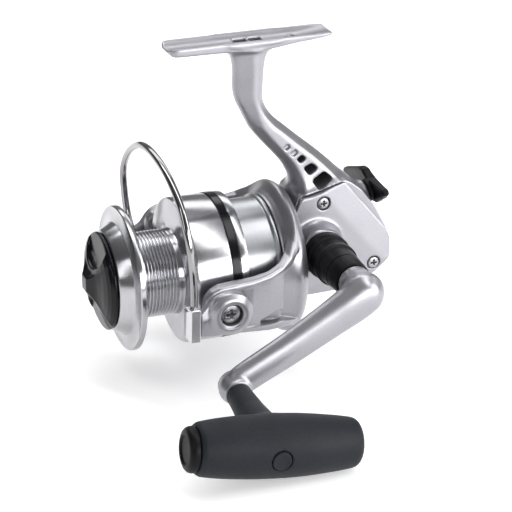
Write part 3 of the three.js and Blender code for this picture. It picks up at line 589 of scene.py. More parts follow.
LOOKS = {                          # the usual look of each slot
    "silver_casting": SILVER, "polished_aluminium": POLISHED, "chrome": CHROME, "steel": STEEL,
    "brass": BRASS, "zinc_casting": ZINC, "black_plastic": BLACK, "black_gloss": GLOSS, "soft_grip": GRIP,
    "felt": FELT,
}


def paint_frame():
    """Every carried-over CAD node gets the finish of its slot."""
    for name, thing in frame["nodes"].items():
        look = LOOKS[SLOTS[name]]
        if not thing.material_slots:
            thing.data.materials.append(look)
        for s in thing.material_slots:
            s.material = look


# ---------------- frame casting: foot, stem, gearbox

PART_Y = -9.0                      # the cover's parting face
STEM = [                           # height, front, rear, half width, nose depth, rear bevel
    (82, 35.6, 63.6, 6, 5.6, 5.6), (80.6, 37.8, 59.2, 6.1, 5.6, 4.6), (78.8, 40.8, 56.4, 6, 5.6, 4),
    (76.6, 42.4, 54.8, 5.9, 5.7, 3.8), (72, 43.1, 54, 5.8, 5.7, 3.4), (65, 43.1, 53.6, 5.8, 5.4, 3),
    (61, 43.9, 53.6, 5.8, 4.8, 2.8), (57, 45.7, 55.2, 5.9, 4.2, 2.6), (53.2, 47.5, 58.2, 6, 3.6, 2.6),
    (49.8, 49.4, 62, 6.1, 3.2, 2.6), (45, 53.2, 67.4, 6.3, 3, 2.6), (40.7, 57, 72.5, 6.6, 2.8, 2.6),
    (36.1, 60.8, 77.6, 7, 2.8, 2.8), (32.3, 63, 81.5, 7.6, 2.8, 3), (29.1, 64.2, 84.6, 8.4, 2.8, 3),
    (26, 64.4, 87.4, 9.2, 2.8, 3), (20, 63.6, 90.5, 10, 2.8, 3),
]
HOUSING = [
    (58.4, -12.4), (70, -12.9), (80, -13), (88, -11.3), (94, -7.8), (97.3, -4.6), (99.6, -2), (99.9, 4.9),
    (98.6, 8.8), (96.2, 13.5), (93.5, 18.5), (89, 24.5), (83, 28.9), (75.6, 27.1), (68.5, 25.2), (64.6, 25),
    (62.6, 20), (58.4, 17.2),
]
RIM_FRONT = 60.2                   # the cover's front edge, just behind the housing's flange
COVER_RIM = [(max(x, RIM_FRONT), z) for x, z in HOUSING]
COVER_HOLLOW = [                   # the inside of the cover lies within this outline
    (62.2, -8.4), (70, -8.8), (78, -8.8), (85.4, -8), (90.6, -6), (93.4, -4.2), (95.2, -1.5), (94.4, 1.8),
    (91.1, 5.8), (87.1, 9.9), (83.1, 14), (79.2, 18.2), (77.6, 21), (73.6, 22.6), (68.8, 21.9), (65.8, 21.6),
    (64.4, 18.4), (62.2, 15.4),
]
CAVITY = [                         # the gear room in the housing
    (59.8, -9.6), (80, -10.7), (87.8, -9.6), (93.4, -6.8), (96, -3.4), (97.8, -0.5), (97.8, 4.5), (96.5, 8),
    (94, 12.6), (90, 17.6), (65, 18.4), (59.8, 13.4),
]
CAST_CORNER = 0.14                 # how far a casting's corners are cut, as a part of the edge
DIMPLE_DEPTH = 0.8
DIMPLES = [                        # two shallow marks in line with the windows
    [(59.6, 43.4), (61.4, 44.6), (62.4, 43.4), (60.6, 42.1)],
    [(62.1, 40.9), (64.1, 42.2), (65.2, 40.8), (63.2, 39.5)],
]
WEB = 0.7                          # half the wall left between the windows of the two sides
WINDOWS = [
    [(64.4, 38.6), (66.6, 40), (68.3, 38.3), (65.9, 36.7)],
    [(66.9, 35), (70.1, 36.5), (72.7, 34.3), (69.1, 31.9)],
    [(69.8, 30.1), (74.8, 33.1), (78.2, 29.9), (72.3, 26.4)],
]
FOOT_SLOTS = [(45.9, 2.45), (51.4, 2.3)]           # place, half width
FOOT_HOLE = 64.5
COVER_SCREWS = [(73.1, 22.3), (93, -3.5), (63.9, -10.3)]
SCREW_HOLE = 1.5


def outline_of(f, points):
    """A casting's outline seen from the side, its corners rounded."""
    return f.xz(chaikin(points, 2, CAST_CORNER))


def stem_field(f):
    """The stem: a rounded bar whose section follows the rows of STEM from the foot down to the housing."""
    order = np.argsort([row[0] for row in STEM])
    fine = curve(np.array(STEM)[order], 90)
    front, rear, half, nose, bevel = [np.interp(f.z, fine[:, 0], fine[:, i]) for i in range(1, 6)]
    lean_front = 1 / np.sqrt(1 + np.gradient(front, f.z) ** 2)     # cosines of the edges' lean
    lean_rear = 1 / np.sqrt(1 + np.gradient(rear, f.z) ** 2)
    tip = half * 0.4
    side = np.abs(f.Y)
    flank = (-(f.X - front) * lean_front * (half - tip) + (side - tip) * nose) / np.hypot(half - tip, nose)
    back = ((f.X - rear) * lean_rear * (half - tip) + (side - tip) * bevel) / np.hypot(half - tip, bevel)
    d = smax(flank, side - half, 0.45)
    d = smax(d, back, 1.2)
    d = smax(d, (front - f.X) * lean_front, 1.6)
    d = smax(d, (f.X - rear) * lean_rear, 1.2)
    return np.maximum(d, np.maximum(20 - f.Z, f.Z - 81.9))


def foot_field(f):
    """The foot, and the shallow trough along its top."""
    under = [(18.5, 81.5), (19.1, 81.1), (20.5, 80.9), (34.5, 80.7), (46, 80.2), (57.4, 80.5), (64.9, 81.4),
             (72.3, 82), (77.6, 82.5), (78.5, 82.9)]
    plan = [(18.5, -3.9), (19, -5.7), (21.4, -6.5), (25, -6.5), (72, -6.4), (76.4, -6.1), (78.1, -5.2),
            (78.5, -4.2)]
    plan += [(x, -y) for x, y in reversed(plan)]
    d = smax(f.xz(under + [(78.5, 83.68), (18.5, 83.68)]), f.xy(chaikin(plan, 2)), 0.6)
    floor = np.maximum(82.3, np.interp(f.x, *zip(*under)) + 0.75)[:, None, None]
    return d, floor + (84.0 - floor) * (np.abs(f.Y) / 5.5) ** 2.4 - f.Z


def add_housing(f, d):
    """The gearbox with its front flange, the far bearing's boss and the spur of the rear lever's shaft."""
    shell = smax(outline_of(f, HOUSING), f.Y - 11.6, 4.0)
    shell = smax(shell, PART_Y - f.Y, 0.4)
    flange = f.turned_x([(57.2, 0), (57.2, 20.4), (57.6, 20.8), (59.4, 20.8), (59.8, 20.4), (59.8, 0)])
    boss = f.turned_y([(-14.2, 0), (-14.2, 8.2), (-13.8, 8.6), (-6, 8.6), (-6, 0)], DRIVE.x, DRIVE.z)
    spur = smax(f.rod((84, 0, 17.8), (93.5, 0, 20), 5.9, 4.6), -f.X + 84, 0.5)
    d = smin(d, shell, 3.2)
    d = smin(d, flange, 1.2)
    d = smin(d, boss, 1.6)
    d = smin(d, spur, 2.4)
    cover_room = np.maximum(outline_of(f, COVER_RIM) - 0.3, f.Y - PART_Y)
    return cut(d, cover_room, 0.25)


def cut_stem(f, d):
    """The dimples and windows in the stem's sides, and the slots and hole in the foot."""
    for outline in DIMPLES:
        stem_side = 6.1 + (44 - outline[0][1]) * 0.15      # the stem widens downwards
        sink = np.maximum(outline_of(f, outline) + 0.05, stem_side - DIMPLE_DEPTH - np.abs(f.Y))
        d = cut(d, sink, 0.25)
    for outline in WINDOWS:
        d = cut(d, np.maximum(outline_of(f, outline) + 0.05, WEB - np.abs(f.Y)), 0.25)
    for x, half in FOOT_SLOTS:
        slot = np.maximum(np.maximum(np.abs(f.X - x) - half, np.abs(f.Y) - 2.5), 78.2 - f.Z)
        d = cut(d, slot, 0.4)
    return cut(d, np.maximum(np.hypot(f.X - FOOT_HOLE, f.Y) - 1.3, 77 - f.Z), 0.3)


def hollow_housing(f, d):
    """Room for the gears, and bores for the pinion, the far bearing, the rear lever and the screws."""
    d = cut(d, np.maximum(f.xz(CAVITY), np.maximum(PART_Y - 1 - f.Y, f.Y - 9.4)))
    d = cut(d, f.turned_x(bar(55, 61, 6.9)))
    seat = f.turned_y(bar(-13.6, -8, 6.5), DRIVE.x, DRIVE.z)
    through = f.turned_y(bar(-17, -8, 3.9), DRIVE.x, DRIVE.z)
    d = cut(d, np.minimum(seat, through))
    d = cut(d, f.rod((87, 0, 18.5), (97, 0, 20.9), 2.2, 2.2))
    for x, z in COVER_SCREWS:
        d = cut(d, np.maximum(np.hypot(f.X - x, f.Z - z) - SCREW_HOLE, np.maximum(f.Y + 4.6, -f.Y - 12)))
    return d


def frame_casting():
    f = Field((17.6, -21.6, -21.8), (100.8, 21.6, 84.8), 0.42)
    foot, channel = foot_field(f)
    d = smin(foot, stem_field(f), 3.0)
    d = cut(d, channel, 0.3)
    d = hollow_housing(f, cut_stem(f, add_housing(f, d)))
    stand_in("frame_casting", *f.skin(d), AT_REEL, "frame_body")


def painted_window_shade():
    """Painted shade: a black plate at the bottom of the windows, over both faces of the wall between them."""
    f = Field((62.6, -WEB - 0.8, 24.6), (80, WEB + 0.8, 41.6), 0.3)
    d = np.minimum.reduce([outline_of(f, outline) for outline in WINDOWS])
    d = np.maximum(d + 0.1, np.abs(f.Y) - WEB - 0.35)
    piece("painted_window_shade", *f.skin(d), AT_REEL, "frame", "black_plastic")


def side_cover():
    """A flat lid with a long bevel towards the rear and top, a second one below, and the hub of the crank."""
    f = Field((59.6, -18.8, -13.6), (100.4, -8.8, 29.6), 0.3)
    h = -f.Y - 9.8                                 # distance out; the lid's face is at 1.8
    bevel = h - 1.8 + 0.24 * ((f.X - 79.2) * 0.773 + (f.Z - 18.2) * 0.634)
    lower = h - 1.8 + 0.30 * (-(f.Z + 7.2) * 0.97 + (f.X - 78) * 0.24)
    d = smax(smax(outline_of(f, COVER_RIM), h - 1.8, 0.7), smax(bevel, lower, 0.3), 0.3)
    d = smax(d, f.Y - (PART_Y - 0.3), 0.3)
    hub = f.turned_y([(9.6, 0), (9.6, 10.2), (12, 9.6), (14, 9), (17.2, 8.65), (18, 8.2), (18.3, 7.6),
                      (18.3, 0)], DRIVE.x, DRIVE.z)
    d = smin(d, hub, 1.8)
    d = cut(d, np.maximum(f.xz(COVER_HOLLOW) + 2.2, h - 0.3))
    for x, z in COVER_SCREWS:
        r = np.hypot(f.X - x, f.Z - z)
        if z > -9:                                 # the lowest screw stands in the solid rim, with no pad
            d = np.minimum(d, np.maximum(np.maximum(r - 3.3, -f.Y - 10.9), f.Y + 9.3))
        d = cut(d, np.maximum(r - 2.6, f.Y + 10.1), 0.3)
        d = cut(d, r - SCREW_HOLE)
    d = cut(d, f.turned_y([(8, 0), (8, 6.5), (17.2, 6.5), (17.2, 4), (20, 4), (20, 0)], DRIVE.x, DRIVE.z))
    stand_in("cover_casting", *f.skin(d), AT_REEL, "side_cover")


def screw(node, at, radius, height, shank, length, recess):
    """A pan head with a cross recess, its face at y = 0 and its shank towards +Y."""
    f = Field((-radius - 0.2, -0.2, -radius - 0.2), (radius + 0.2, length + 0.2, radius + 0.2), radius / 26)
    d = f.turned_y([(0, 0), (0, radius * 0.55), (-height * 0.18, radius * 0.86), (-height * 0.5, radius),
                    (-height, radius), (-height, shank), (-length, shank), (-length, 0)])
    taper = 1 - f.Y / (recess * 1.5)
    for one, other in ((f.X, f.Z), (f.Z, f.X)):
        slot = np.maximum(np.abs(one) - recess * np.clip(taper, 0.1, 1),
                          np.abs(other) - recess * 0.3 * np.clip(taper, 0.3, 1))
        d = cut(d, np.maximum(slot, f.Y - min(recess * 1.1, length - 1)), radius * 0.03)
    stand_in(node + "_turned", *f.skin(d), at, node)


def cover_screws():
    for number, (x, z) in enumerate(COVER_SCREWS, 1):
        screw(f"cover_screw_{number}", Matrix.Translation((x, -11.7, z)), radius=2.2, height=1.3, shank=1.15,
              length=6.4, recess=1.3)


# ---------------- rotor and bail

ARM_TOP = [                        # the arms' edges, seen from the side
    (19.6, 2.6), (20.4, 5.4), (22.4, 7.7), (25.4, 9), (31, 9.4), (38, 9.6), (44, 10.2), (49, 11.6),
    (53, 14), (56, 17.2), (58.4, 21), (61.9, 27),
]
ARM_LOW = [
    (61.9, -21), (58.4, -17.2), (54.5, -14.2), (48, -12.2), (38, -10.6), (31, -9.8), (25.4, -9),
    (22.4, -7.7), (20.4, -5.4), (19.6, -2.6),
]
FAR_LOW = [                        # the far arm's lower edge; the other one is the near arm's
    (61.9, -21), (58.4, -17), (54.5, -12.5), (50, -9.6), (45, -7.3), (38, -5.8), (31, -5.8), (25.4, -5.8),
    (22.4, -5.4), (20.2, -4), (19.6, -2.6),
]
ARM_PLAN = [                       # x, distance out from the axis
    (19.6, 31.4), (20.4, 30.6), (25, 30.2), (31, 30.1), (38, 29.8), (45, 28.8), (50, 27.3), (54, 25.2),
    (58, 23.4), (61.6, 23), (61.6, 25), (59.6, 27.4), (57.2, 29.4), (54, 30.9), (50, 32), (45, 33.1),
    (38, 34.3), (31, 34.8), (23, 34.8), (20.6, 34.6), (19.6, 33.8),
]
BEND_START, BEND_LENGTH = 44, 13   # where an arm goes over into the round cup
ROTOR_REAR = 61.8                  # the cup's rear edge, clear of the side cover


def rotor_arm(f, side, low):
    """One arm: its plan is followed straight out at the front and round the cup at the back."""
    r = np.hypot(f.Y, f.Z)
    w = np.clip((f.X - BEND_START) / BEND_LENGTH, 0, 1)
    w = w * w * (3 - 2 * w)
    out = side * f.Y * (1 - w) + r * w
    fine = f.step / 2
    spots = np.arange(0, 60, fine)
    table = poly(ARM_PLAN, f.x, spots)
    at = np.clip(out / fine, 0, len(spots) - 2)
    low_at = at.astype(int)
    part = at - low_at
    row = np.arange(len(f.x))[:, None, None]
    plan = table[row, low_at] * (1 - part) + table[row, low_at + 1] * part
    d = smax(np.where(side * f.Y > 0, plan, FAR_OFF), f.xz(ARM_TOP + low), 1.5)
    return d, out


def rotor_casting():
    f = Field((19.2, -35.4, -28), (62.6, 35.4, 28), 0.42)
    cup = f.turned_x([(53.7, 21.9), (53.7, 23.3), (54.3, 23.4), (56, 24.8), (57.6, 26.8), (58.4, 27.5),
                      (59, 27.6), (59.6, 27.3), (61.7, 25), (61.9, 24.4), (61.9, 21.9)])
    near, out = rotor_arm(f, -1, ARM_LOW)
    far, _ = rotor_arm(f, 1, FAR_LOW)
    # the near arm's outer face is sunk within a raised edge, and deeper in one pocket
    depth = np.interp(f.x, [19, 38, 45, 50.1, 50.7, 62], [34.0, 33.5, 32.3, 31.2, 28.4, 28.3])[:, None, None]
    face = f.xz([(33, 6.9), (44, 7.3), (50.2, 8.8), (54, 10.8), (57, 13.4), (63, 20), (63, -16), (57, -12.2),
                 (50.2, -9.2), (40, -8.4), (33, -7.8)])
    pocket = f.xz(chaikin([(38.5, -8.2), (49.4, -4.6), (50.6, -6.4), (50.2, -9.4)], 1))
    for sink in (np.maximum(face, depth - out), np.maximum(pocket, 29.9 - out)):
        near = cut(near, np.where(f.Y < 0, sink, FAR_OFF), 0.5)
    d = smin(cup, smin(near, far, 0.5), 2.6)
    d = np.maximum(d, 2.4 - np.hypot(f.X - BAIL.x, f.Z))           # the bail's pivot holes
    d = smax(d, f.X - ROTOR_REAR, 0.3)
    bowl = np.interp(f.x, [19, 53.55, 53.65, 58, 62], [23.8, 23.8, 21.8, 22.3, 23.2])[:, None, None]
    d = np.maximum(d, bowl - np.hypot(f.Y, f.Z))
    stand_in("rotor_casting", *f.skin(d), AT_ROTOR, "rotor")


def rotor_drum():
    """The turned drum inside the spool's skirt. In the CAD it is one solid with the rotor."""
    drum = [(34.5, 20.4), (34.5, 22.2), (34.8, 22.5), (51.6, 22.5), (52.2, 23.3), (53, 23.4), (53.4, 23.1),
            (53.4, 20.9), (50.2, 20.4), (50.2, 8.4), (53.8, 8.4), (53.8, 4.6), (46.4, 4.6), (46.4, 20.4)]
    piece("rotor_drum", *lathe(drum, 144, bevel=0.25), AT_ROTOR, "rotor", "polished_aluminium", SATIN)


WIRE_R = 1.35
WIRE = [                           # y, z from the bail's pivot, near end to far end
    (-36.7, 5), (-38, 15), (-37.4, 24), (-34, 33), (-27.4, 40.6), (-14.5, 45.8), (0, 46.8), (12.5, 44.4),
    (24.5, 38.2), (33.6, 30.4), (38.6, 22.6), (39, 14.4), (37.6, 7), (33.8, 1.4), (29.6, -1),
]
WIRE_LEAN = math.tan(math.radians(4))              # the loop leans forward by this as it rises
ROLLER_X, ROLLER_Z = 15 - BAIL.x, -6               # the roller's axis, from the bail's pivot
AT_ROLLER = AT_BAIL @ Matrix.Translation((ROLLER_X, 0, ROLLER_Z))
HALF_TURN = Matrix.Rotation(math.pi, 4, "Z")       # turns a screw's head to the far side
LEVER_IN = 35.1                    # inner face of both levers, out from the axis
PIVOT_R = 8.2
PIVOT_HOLE = 2.3
WELL_R, WELL_FLOOR = 4.1, 35.9     # round recess of a pivot screw's head
ROLLER_HOLE = 1.6


def bail_wire():
    path = curve([(ROLLER_X - (z - WIRE[0][1]) * WIRE_LEAN, y, z) for y, z in WIRE], 150)
    path = np.vstack([path[0] - (0, 0, 1.2), path])
    stand_in("bail_wire_bent", *tube(path, WIRE_R, 24), AT_BAIL, "bail_wire")


def bail_lever_near():
    """A round pivot dome and a tab of two facets that meet in a ridge."""
    f = Field((-13.6, -39.8, -8.6), (8.6, -34.8, 8.6), 0.2)
    tab = f.xz([(-10.9, 1.6), (-9.6, 2.8), (-6.2, 6.2), (-3.2, 7.6), (0, 8), (3, 7), (3, -7), (0, -8.1),
                (-6, -8), (-10.9, -7.2)])
    above = f.Z + 1.2 - 0.25 * (f.X + 10.9)        # height over the ridge
    rise, drop = 0.32, 0.14                        # slopes of the facets above and below it
    upper = (-f.Y - 38.2 + rise * above) / math.hypot(1, rise)
    under = (-f.Y - 38.2 - drop * above) / math.hypot(1, drop)
    tab = smax(tab, smax(upper, under, 0.4), 0.5)
    tab = np.maximum(tab, f.Y + LEVER_IN)
    dome = f.turned_y([(LEVER_IN, 0), (LEVER_IN, PIVOT_R), (37, PIVOT_R), (37.8, 7.9), (38.9, 6.5),
                       (39.35, 5.7), (39.3, 4.9), (38.7, 4.5), (38.7, 0)])
    d = smin(tab, dome, 0.8)
    d = cut(d, f.turned_y(bar(WELL_FLOOR, 41, WELL_R)), 0.3)
    d = np.maximum(d, PIVOT_HOLE - np.hypot(f.X, f.Z))
    stand_in("bail_lever_near_cast", *f.skin(d), AT_BAIL, "bail_lever_near")


def bail_lever_far():
    """A flat lever with a round nose that carries the roller."""
    f = Field((-18.2, 34.9, -10.8), (8.6, 39.2, 8.6), 0.22)
    tab = f.xz([(-13.5, -1.6), (-9, 1.6), (-5, 6), (0, 8.1), (3, 7), (3, -7), (0, -8.1), (-6, -9.6),
                (-13.5, -10.4)])
    pivot, roller = np.hypot(f.X, f.Z), np.hypot(f.X - ROLLER_X, f.Z - ROLLER_Z)
    flat = smin(smin(tab, roller - 4.4, 1.5), pivot - PIVOT_R, 1.0)
    d = smax(flat, np.maximum(f.Y - 38.5, LEVER_IN - f.Y), 0.9)
    d = cut(d, np.maximum(pivot - WELL_R, WELL_FLOOR - f.Y), 0.3)
    d = np.maximum(d, PIVOT_HOLE - pivot)
    d = np.maximum(d, ROLLER_HOLE - roller)
    stand_in("bail_lever_far_cast", *f.skin(d), AT_BAIL, "bail_lever_far")


def wire_block():
    """The bright block on the near lever that holds the end of the wire."""
    low, high, rim = Vector((-16.5, -39.2, -8.2)), Vector((-11.3, -LEVER_IN, 4.4)), Vector((0.4, 0.4, 0.4))
    f = Field(low - rim, high + rim, 0.16)
    plan = [(low.x, low.y + 1.5), (low.x + 1.6, low.y), (high.x - 0.5, low.y), (high.x, low.y + 0.5),
            (high.x, high.y), (low.x, high.y)]
    side = [(low.x, low.z + 1.8), (low.x + 1.4, low.z), (high.x, low.z), (high.x, high.z - 0.8),
            (high.x - 0.8, high.z), (low.x + 0.7, high.z), (low.x, high.z - 0.7)]
    d = smax(f.xy(plan), f.xz(side), 0.35)
    stand_in("wire_block_cast", *f.skin(d), AT_BAIL, "wire_block", BRUSHED)


def line_roller():
    cone = [(-28.2, 1.6), (-28.2, 2.6), (-29, 3.4), (-31.1, 3.6), (-31.1, 1.6)]
    stand_in("wire_cone_turned", *lathe(cone, 64, "Y", 0.25), AT_ROLLER, "wire_cone")
    wheel = [(-31.4, 1.7), (-31.4, 3.8), (-32, 3.3), (-32.7, 3.05), (-33.5, 3.05), (-34.2, 3.3),
             (-34.8, 3.8), (-34.8, 1.7)]
    stand_in("line_roller_turned", *lathe(wheel, 64, "Y", 0.12), AT_ROLLER, "line_roller")
    screw("roller_screw", AT_ROLLER @ Matrix.Translation((0, 40.2, 0)) @ HALF_TURN, radius=1.3, height=0.6,
          shank=1.28, length=12.2, recess=0.75)


def bail_screws():
    face = Vector((0, 37.9, 0))
    for name, at in (("near", Matrix.Translation(-face)), ("far", Matrix.Translation(face) @ HALF_TURN)):
        screw(f"bail_screw_{name}", AT_BAIL @ at, radius=3.7, height=1.6, shank=1.9, length=9.4, recess=2.1)


# ---------------- spool, band and drag knob

ARBOR_FRONT, ARBOR_LENGTH, ARBOR_R = 5.4, 12.2, 15.4
RIBS, RIB_DEPTH, RIB_POINTS = 10, 0.5, 6           # fine ribs round the arbor, where the line would lie


def spool_profile():
    ribs = []
    for i in range(RIBS * RIB_POINTS + 1):
        dip = 0.5 - 0.5 * math.cos(2 * math.pi * i / RIB_POINTS)
        ribs.append((ARBOR_FRONT + ARBOR_LENGTH * i / (RIBS * RIB_POINTS), ARBOR_R - RIB_DEPTH * dip ** 1.5))
    front = [(4, 14), (-5.3, 14), (-5.3, 17.2), (-5.15, 17.6), (-4.8, 17.95), (-0.9, 20), (-0.5, 20.25),
             (-0.25, 20.8), (0.1, 22.2), (0.28, 23.6), (0.25, 24.7), (0.02, 25.2), (0, 25.6), (0.3, 25.92),
             (0.9, 26), (1.7, 26), (2.15, 25.8), (2.5, 25.2), (2.7, 24.2), (3.1, 21.8), (3.7, 19),
             (4.3, 16.8), (4.8, 15.8), (5.1, 15.45)]
    back = [(18.4, ARBOR_R), (19, 15.45), (19.5, 15.6), (19.9, 16.4), (20.15, 18), (20.2, 20), (20.2, 25.1),
            (20.45, 25.8), (21, 26.15), (21.6, 26.2), (33.4, 26.2), (33.65, 26.1), (33.7, 25.9),
            (33.7, 25.6), (37.1, 25.6), (37.1, 25.9), (37.2, 26.15), (37.5, 26.2), (39.6, 26.2),
            (39.95, 26.05), (40.1, 25.8), (40.1, 25), (22.8, 24.8), (22.2, 24), (22.2, 13.6), (6.8, 13.6),
            (6.8, 5.4), (24.3, 5.4), (24.3, 2.4), (4, 2.4)]
    return front + ribs + back


def spool_parts():
    stand_in("spool_turned", *lathe(spool_profile(), 160), AT_REEL, "spool")
    band = [(34, 25.9), (34, 26.2), (34.1, 26.3), (36.7, 26.3), (36.8, 26.2), (36.8, 25.9)]
    stand_in("spool_band_turned", *lathe(band, 160), AT_REEL, "spool_band")


def drag_knob():
    """A round dial with a bar across its face and a scoop on each side of the bar."""
    f = Field((-13.4, -17.9, -17.9), (-5.3, 17.9, 17.9), 0.2)
    d = f.turned_x([(-5.6, 0), (-5.6, 16.9), (-5.8, 17.35), (-6.3, 17.6), (-6.9, 17.4), (-7.9, 16.4),
                    (-8.7, 14.8), (-9.4, 12.4), (-10.1, 9), (-10.5, 5), (-10.6, 0)])
    scoop_wide, scoop_high = 9.0, 7.4
    for side in (-1, 1):
        hollow = np.hypot(f.Y / scoop_wide, (f.Z - side * 13.2) / scoop_high) - 1
        slope = f.X + 7.4 + 0.12 * (14 - side * f.Z)
        d = cut(d, np.maximum(hollow * scoop_high, slope), 0.6)
    reach = np.clip((np.abs(f.Y) - 2.4) / 12.5, 0, 1.3)            # 0 in mid bar, 1 near its ends
    below = np.clip(f.X + 13, 0, 6)                # under the crest of the bar
    half = 3.0 + 3.0 * reach + 0.4 * below ** 1.6  # the bar widens towards its ends and its foot
    grip = smax(np.abs(f.Z) - half, -f.X - 12.98 + 6.4 * reach, 0.9)
    d = smin(d, smax(smax(grip, f.X + 6, 0.1), np.hypot(f.Y, f.Z) - 17.3, 0.5), 0.9)
    d = cut(d, f.turned_x(bar(-9.8, -4, 3.6)))
    d = cut(d, f.turned_x(bar(-11.4, -4, 2.4)))
    stand_in("drag_knob_moulded", *f.skin(d), AT_REEL, "drag_knob")


# ---------------- crank, collar and T-bar knob


def handle_collar():
    collar = [(18.6, 3.8), (18.6, 8), (19.1, 8.3), (23.2, 8.3), (23.6, 8.1), (23.8, 7.7), (24.2, 7.5),
              (28.4, 7.4), (28.7, 7.8), (29, 7.9), (30.6, 7.9), (30.9, 7.7), (31.1, 7.25), (37.2, 6.9),
              (37.4, 6.65), (37.7, 6.65), (37.9, 6.85), (44.4, 6.5), (45, 6.3), (45.2, 6), (45.2, 3.8)]
    stand_in("handle_collar_moulded", *lathe(collar, 112, "Y"), AT_DRIVE, "handle_collar")


ELBOW = Vector((0, -54.5, 0))      # where the crank's stub and arm meet, on the drive's axis
POST_HOLE = 2.5


def crank_arm():
    """A stub out of the collar and a bowed arm, round in section, to the eye of the knob's post."""
    end = CRANK_END - Vector((DRIVE.x, 0, DRIVE.z))
    along = (end - ELBOW).normalized()
    length = (end - ELBOW).length
    rise = Vector((along.z, 0, -along.x)).normalized()
    out = rise.cross(along).normalized()
    if out.y > 0:
        out = -out
    rows = curve([                 # along the arm: sideways bow, half width, half thickness
        (-6, -1, 6, 5), (0, -1.1, 6.9, 5.6), (6, -1.1, 7, 5.5), (15, -0.9, 6.5, 4.9),
        (32, -0.3, 5.9, 4.2), (length - 5, 1.0, 5.5, 3.8), (length, 0.6, 5.1, 3.7),
        (length + 6, 0.2, 4.6, 3.4)], 80)
    f = Field((-53.6, -61.2, -34.6), (8, -31.8, 8), 0.36)
    px, py, pz = f.X - ELBOW.x, f.Y - ELBOW.y, f.Z - ELBOW.z
    t = px * along.x + py * along.y + pz * along.z
    bow, wide, thick = [np.interp(t, rows[:, 0], rows[:, i]) for i in (1, 2, 3)]
    a = px * rise.x + py * rise.y + pz * rise.z - bow
    b = px * out.x + py * out.y + pz * out.z
    past = np.maximum(-t, 0) / 6.2 + np.maximum(t - length, 0) / 5.2
    crown = np.where(a > 0, 1.0 + 0.10 * np.clip(a / wide, 0, 1), 1.0)
    q = (np.abs(a / wide) ** 2.3 + np.abs(b / thick * crown) ** 2.1 + past ** 2.2) ** (1 / 2.2)
    arm = (q - 1) * np.minimum(wide, thick)
    stub = f.turned_y([(45.5, 0), (45.5, 5.7), (45.7, 5.9), (-ELBOW.y, 5.9), (-ELBOW.y, 0)])
    tongue = f.turned_y(bar(32, 46.5, 3.4))        # inside the collar
    d = smin(smin(arm, stub, 3.4), tongue, 0.2)
    place, direction = np.array(end), np.array(KNOB_DIR)
    d = smin(d, f.rod(place - direction * 3.9, place + direction * 4.2, 4.9, 4.6), 1.6)
    d = cut(d, f.rod(place - direction * 9, place + direction * 9, POST_HOLE, POST_HOLE))
    stand_in("crank_cast", *f.skin(d), AT_DRIVE, "crank_arm")


KNOB_REACH = 39.0                  # from the crank's eye to the middle of the T-bar
BAR_TILT = math.radians(7)


def knob_place():
    """Axes of the knob: X along the bar, Y out along the post, which is the joint's axis."""
    along = Vector((math.cos(BAR_TILT), 0, -math.sin(BAR_TILT)))
    along = (along - KNOB_DIR * along.dot(KNOB_DIR)).normalized()
    at = Matrix((along, KNOB_DIR, along.cross(KNOB_DIR))).transposed().to_4x4()
    at.translation = CRANK_END
    return at


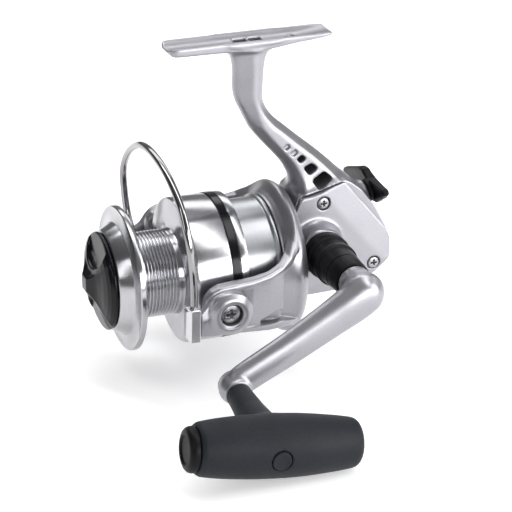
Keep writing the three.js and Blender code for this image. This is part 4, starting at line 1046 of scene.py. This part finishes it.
def knob_parts():
    at = knob_place()
    f = Field((-26.8, 4.0, -11.4), (30.6, KNOB_REACH + 11.4, 11.4), 0.36)
    barrel = [(-26.3, 8.1), (-25.6, 8.55), (-24.6, 8.95), (-19, 9.7), (-10, 10.35), (0, 10.58), (10, 10.33),
              (20, 9.42), (25.2, 8.77), (27.9, 8.27), (29.2, 7.4), (29.9, 6.05), (30.15, 4), (30.2, 2)]
    profile = [(barrel[0][0], 0)] + [tuple(p) for p in curve(barrel, 90)] + [(barrel[-1][0], 0)]
    body = f.turned_x(profile, KNOB_REACH, 0)
    neck = f.turned_y([(-4.5, 0), (-4.5, 4.1), (-4.8, 4.4), (-9, 4.6), (-18, 5.2), (-25, 6), (-34, 7.4),
                       (-34, 0)])
    d = smin(body, neck, 3.0)
    d = cut(d, f.turned_y(bar(-2, -47, 2.6)))      # the post's bore
    d = cut(d, f.turned_y(bar(-46.4, -56, 3.6)), 0.4)              # the plug's seat
    stand_in("knob_grip_moulded", *f.skin(d), at, "knob_grip")
    across = at @ Matrix.Translation((0, KNOB_REACH, 0))
    cap = [(-26.6, 0), (-26.6, 7.2), (-26.9, 7.6), (-28, 7.6), (-28.9, 7.3), (-29.5, 6.7), (-29.85, 5.9),
           (-29.9, 5.2), (-29.6, 4.7), (-29.3, 4.4), (-29.3, 0)]
    stand_in("knob_end_cap_moulded", *lathe(cap, 96), across, "knob_end_cap")
    plug = [(-46.9, 0), (-46.9, 3.3), (-49.1, 3.3), (-49.4, 3.1), (-49.5, 2.8), (-49.35, 2.4), (-49.35, 0)]
    stand_in("knob_plug_moulded", *lathe(plug, 64, "Y"), at, "knob_plug", GRIP)


# ---------------- anti-reverse lever, far cap

ANTI_OUTLINE = [                   # y, z: a short thumb tab and a long tail
    (26.8, -2.1), (24.8, -0.4), (21.4, 1), (6.9, 6.4), (4.2, 6.6), (2.3, 5.4), (-0.5, 4.3), (-7.7, 4.1),
    (-12.6, 4.3), (-14, 3.4), (-13.8, 2.2), (-11, 0), (-5.8, -3), (-3.6, -4.4), (0, -4.8), (3.6, -4.4),
    (7.4, -3.6), (17.6, -3.3), (24.4, -2.9),
]


def anti_reverse_lever():
    f = Field((-2.1, -14.4, -5.2), (3.4, 27.2, 7), 0.22)
    thinner = 0.7 * np.clip(np.abs(f.Y) / 14, 0, 1)
    d = smax(f.yz(ANTI_OUTLINE), np.maximum(f.X - 3 + thinner, -0.4 - f.X), 1.1)
    d = smin(d, f.turned_x(bar(-1.7, 1, 4.2)), 0.6)
    d = cut(d, f.turned_x(bar(-4, 1.4, 2.1)))
    stand_in("anti_reverse_moulded", *f.skin(d), AT_ANTI, "anti_reverse_lever")


def far_side_cap():
    cap = [(-14.5, 0), (-14.5, 8.4), (-14.8, 8.8), (-16.4, 8.8), (-17, 8.5), (-17.8, 7.4), (-18.2, 6),
           (-18.45, 4.4), (-18.6, 2), (-18.6, 0)]
    stand_in("far_cap_moulded", *lathe(cap, 96, "Y"), AT_DRIVE, "far_side_cap")


# ---------------- the scene

bpy.context.scene.view_settings.view_transform = "Standard"
make_camera()
make_world()
make_lights()
make_floor()
paint_frame()
frame_casting()
# painted shade: a black plate stands for the shadow deep in the stem's windows
painted_window_shade()
side_cover()
cover_screws()
rotor_casting()
rotor_drum()
bail_wire()
bail_lever_near()
bail_lever_far()
wire_block()
line_roller()
bail_screws()
spool_parts()
drag_knob()
handle_collar()
crank_arm()
knob_parts()
anti_reverse_lever()
far_side_cap()

bpy.context.view_layer.update()
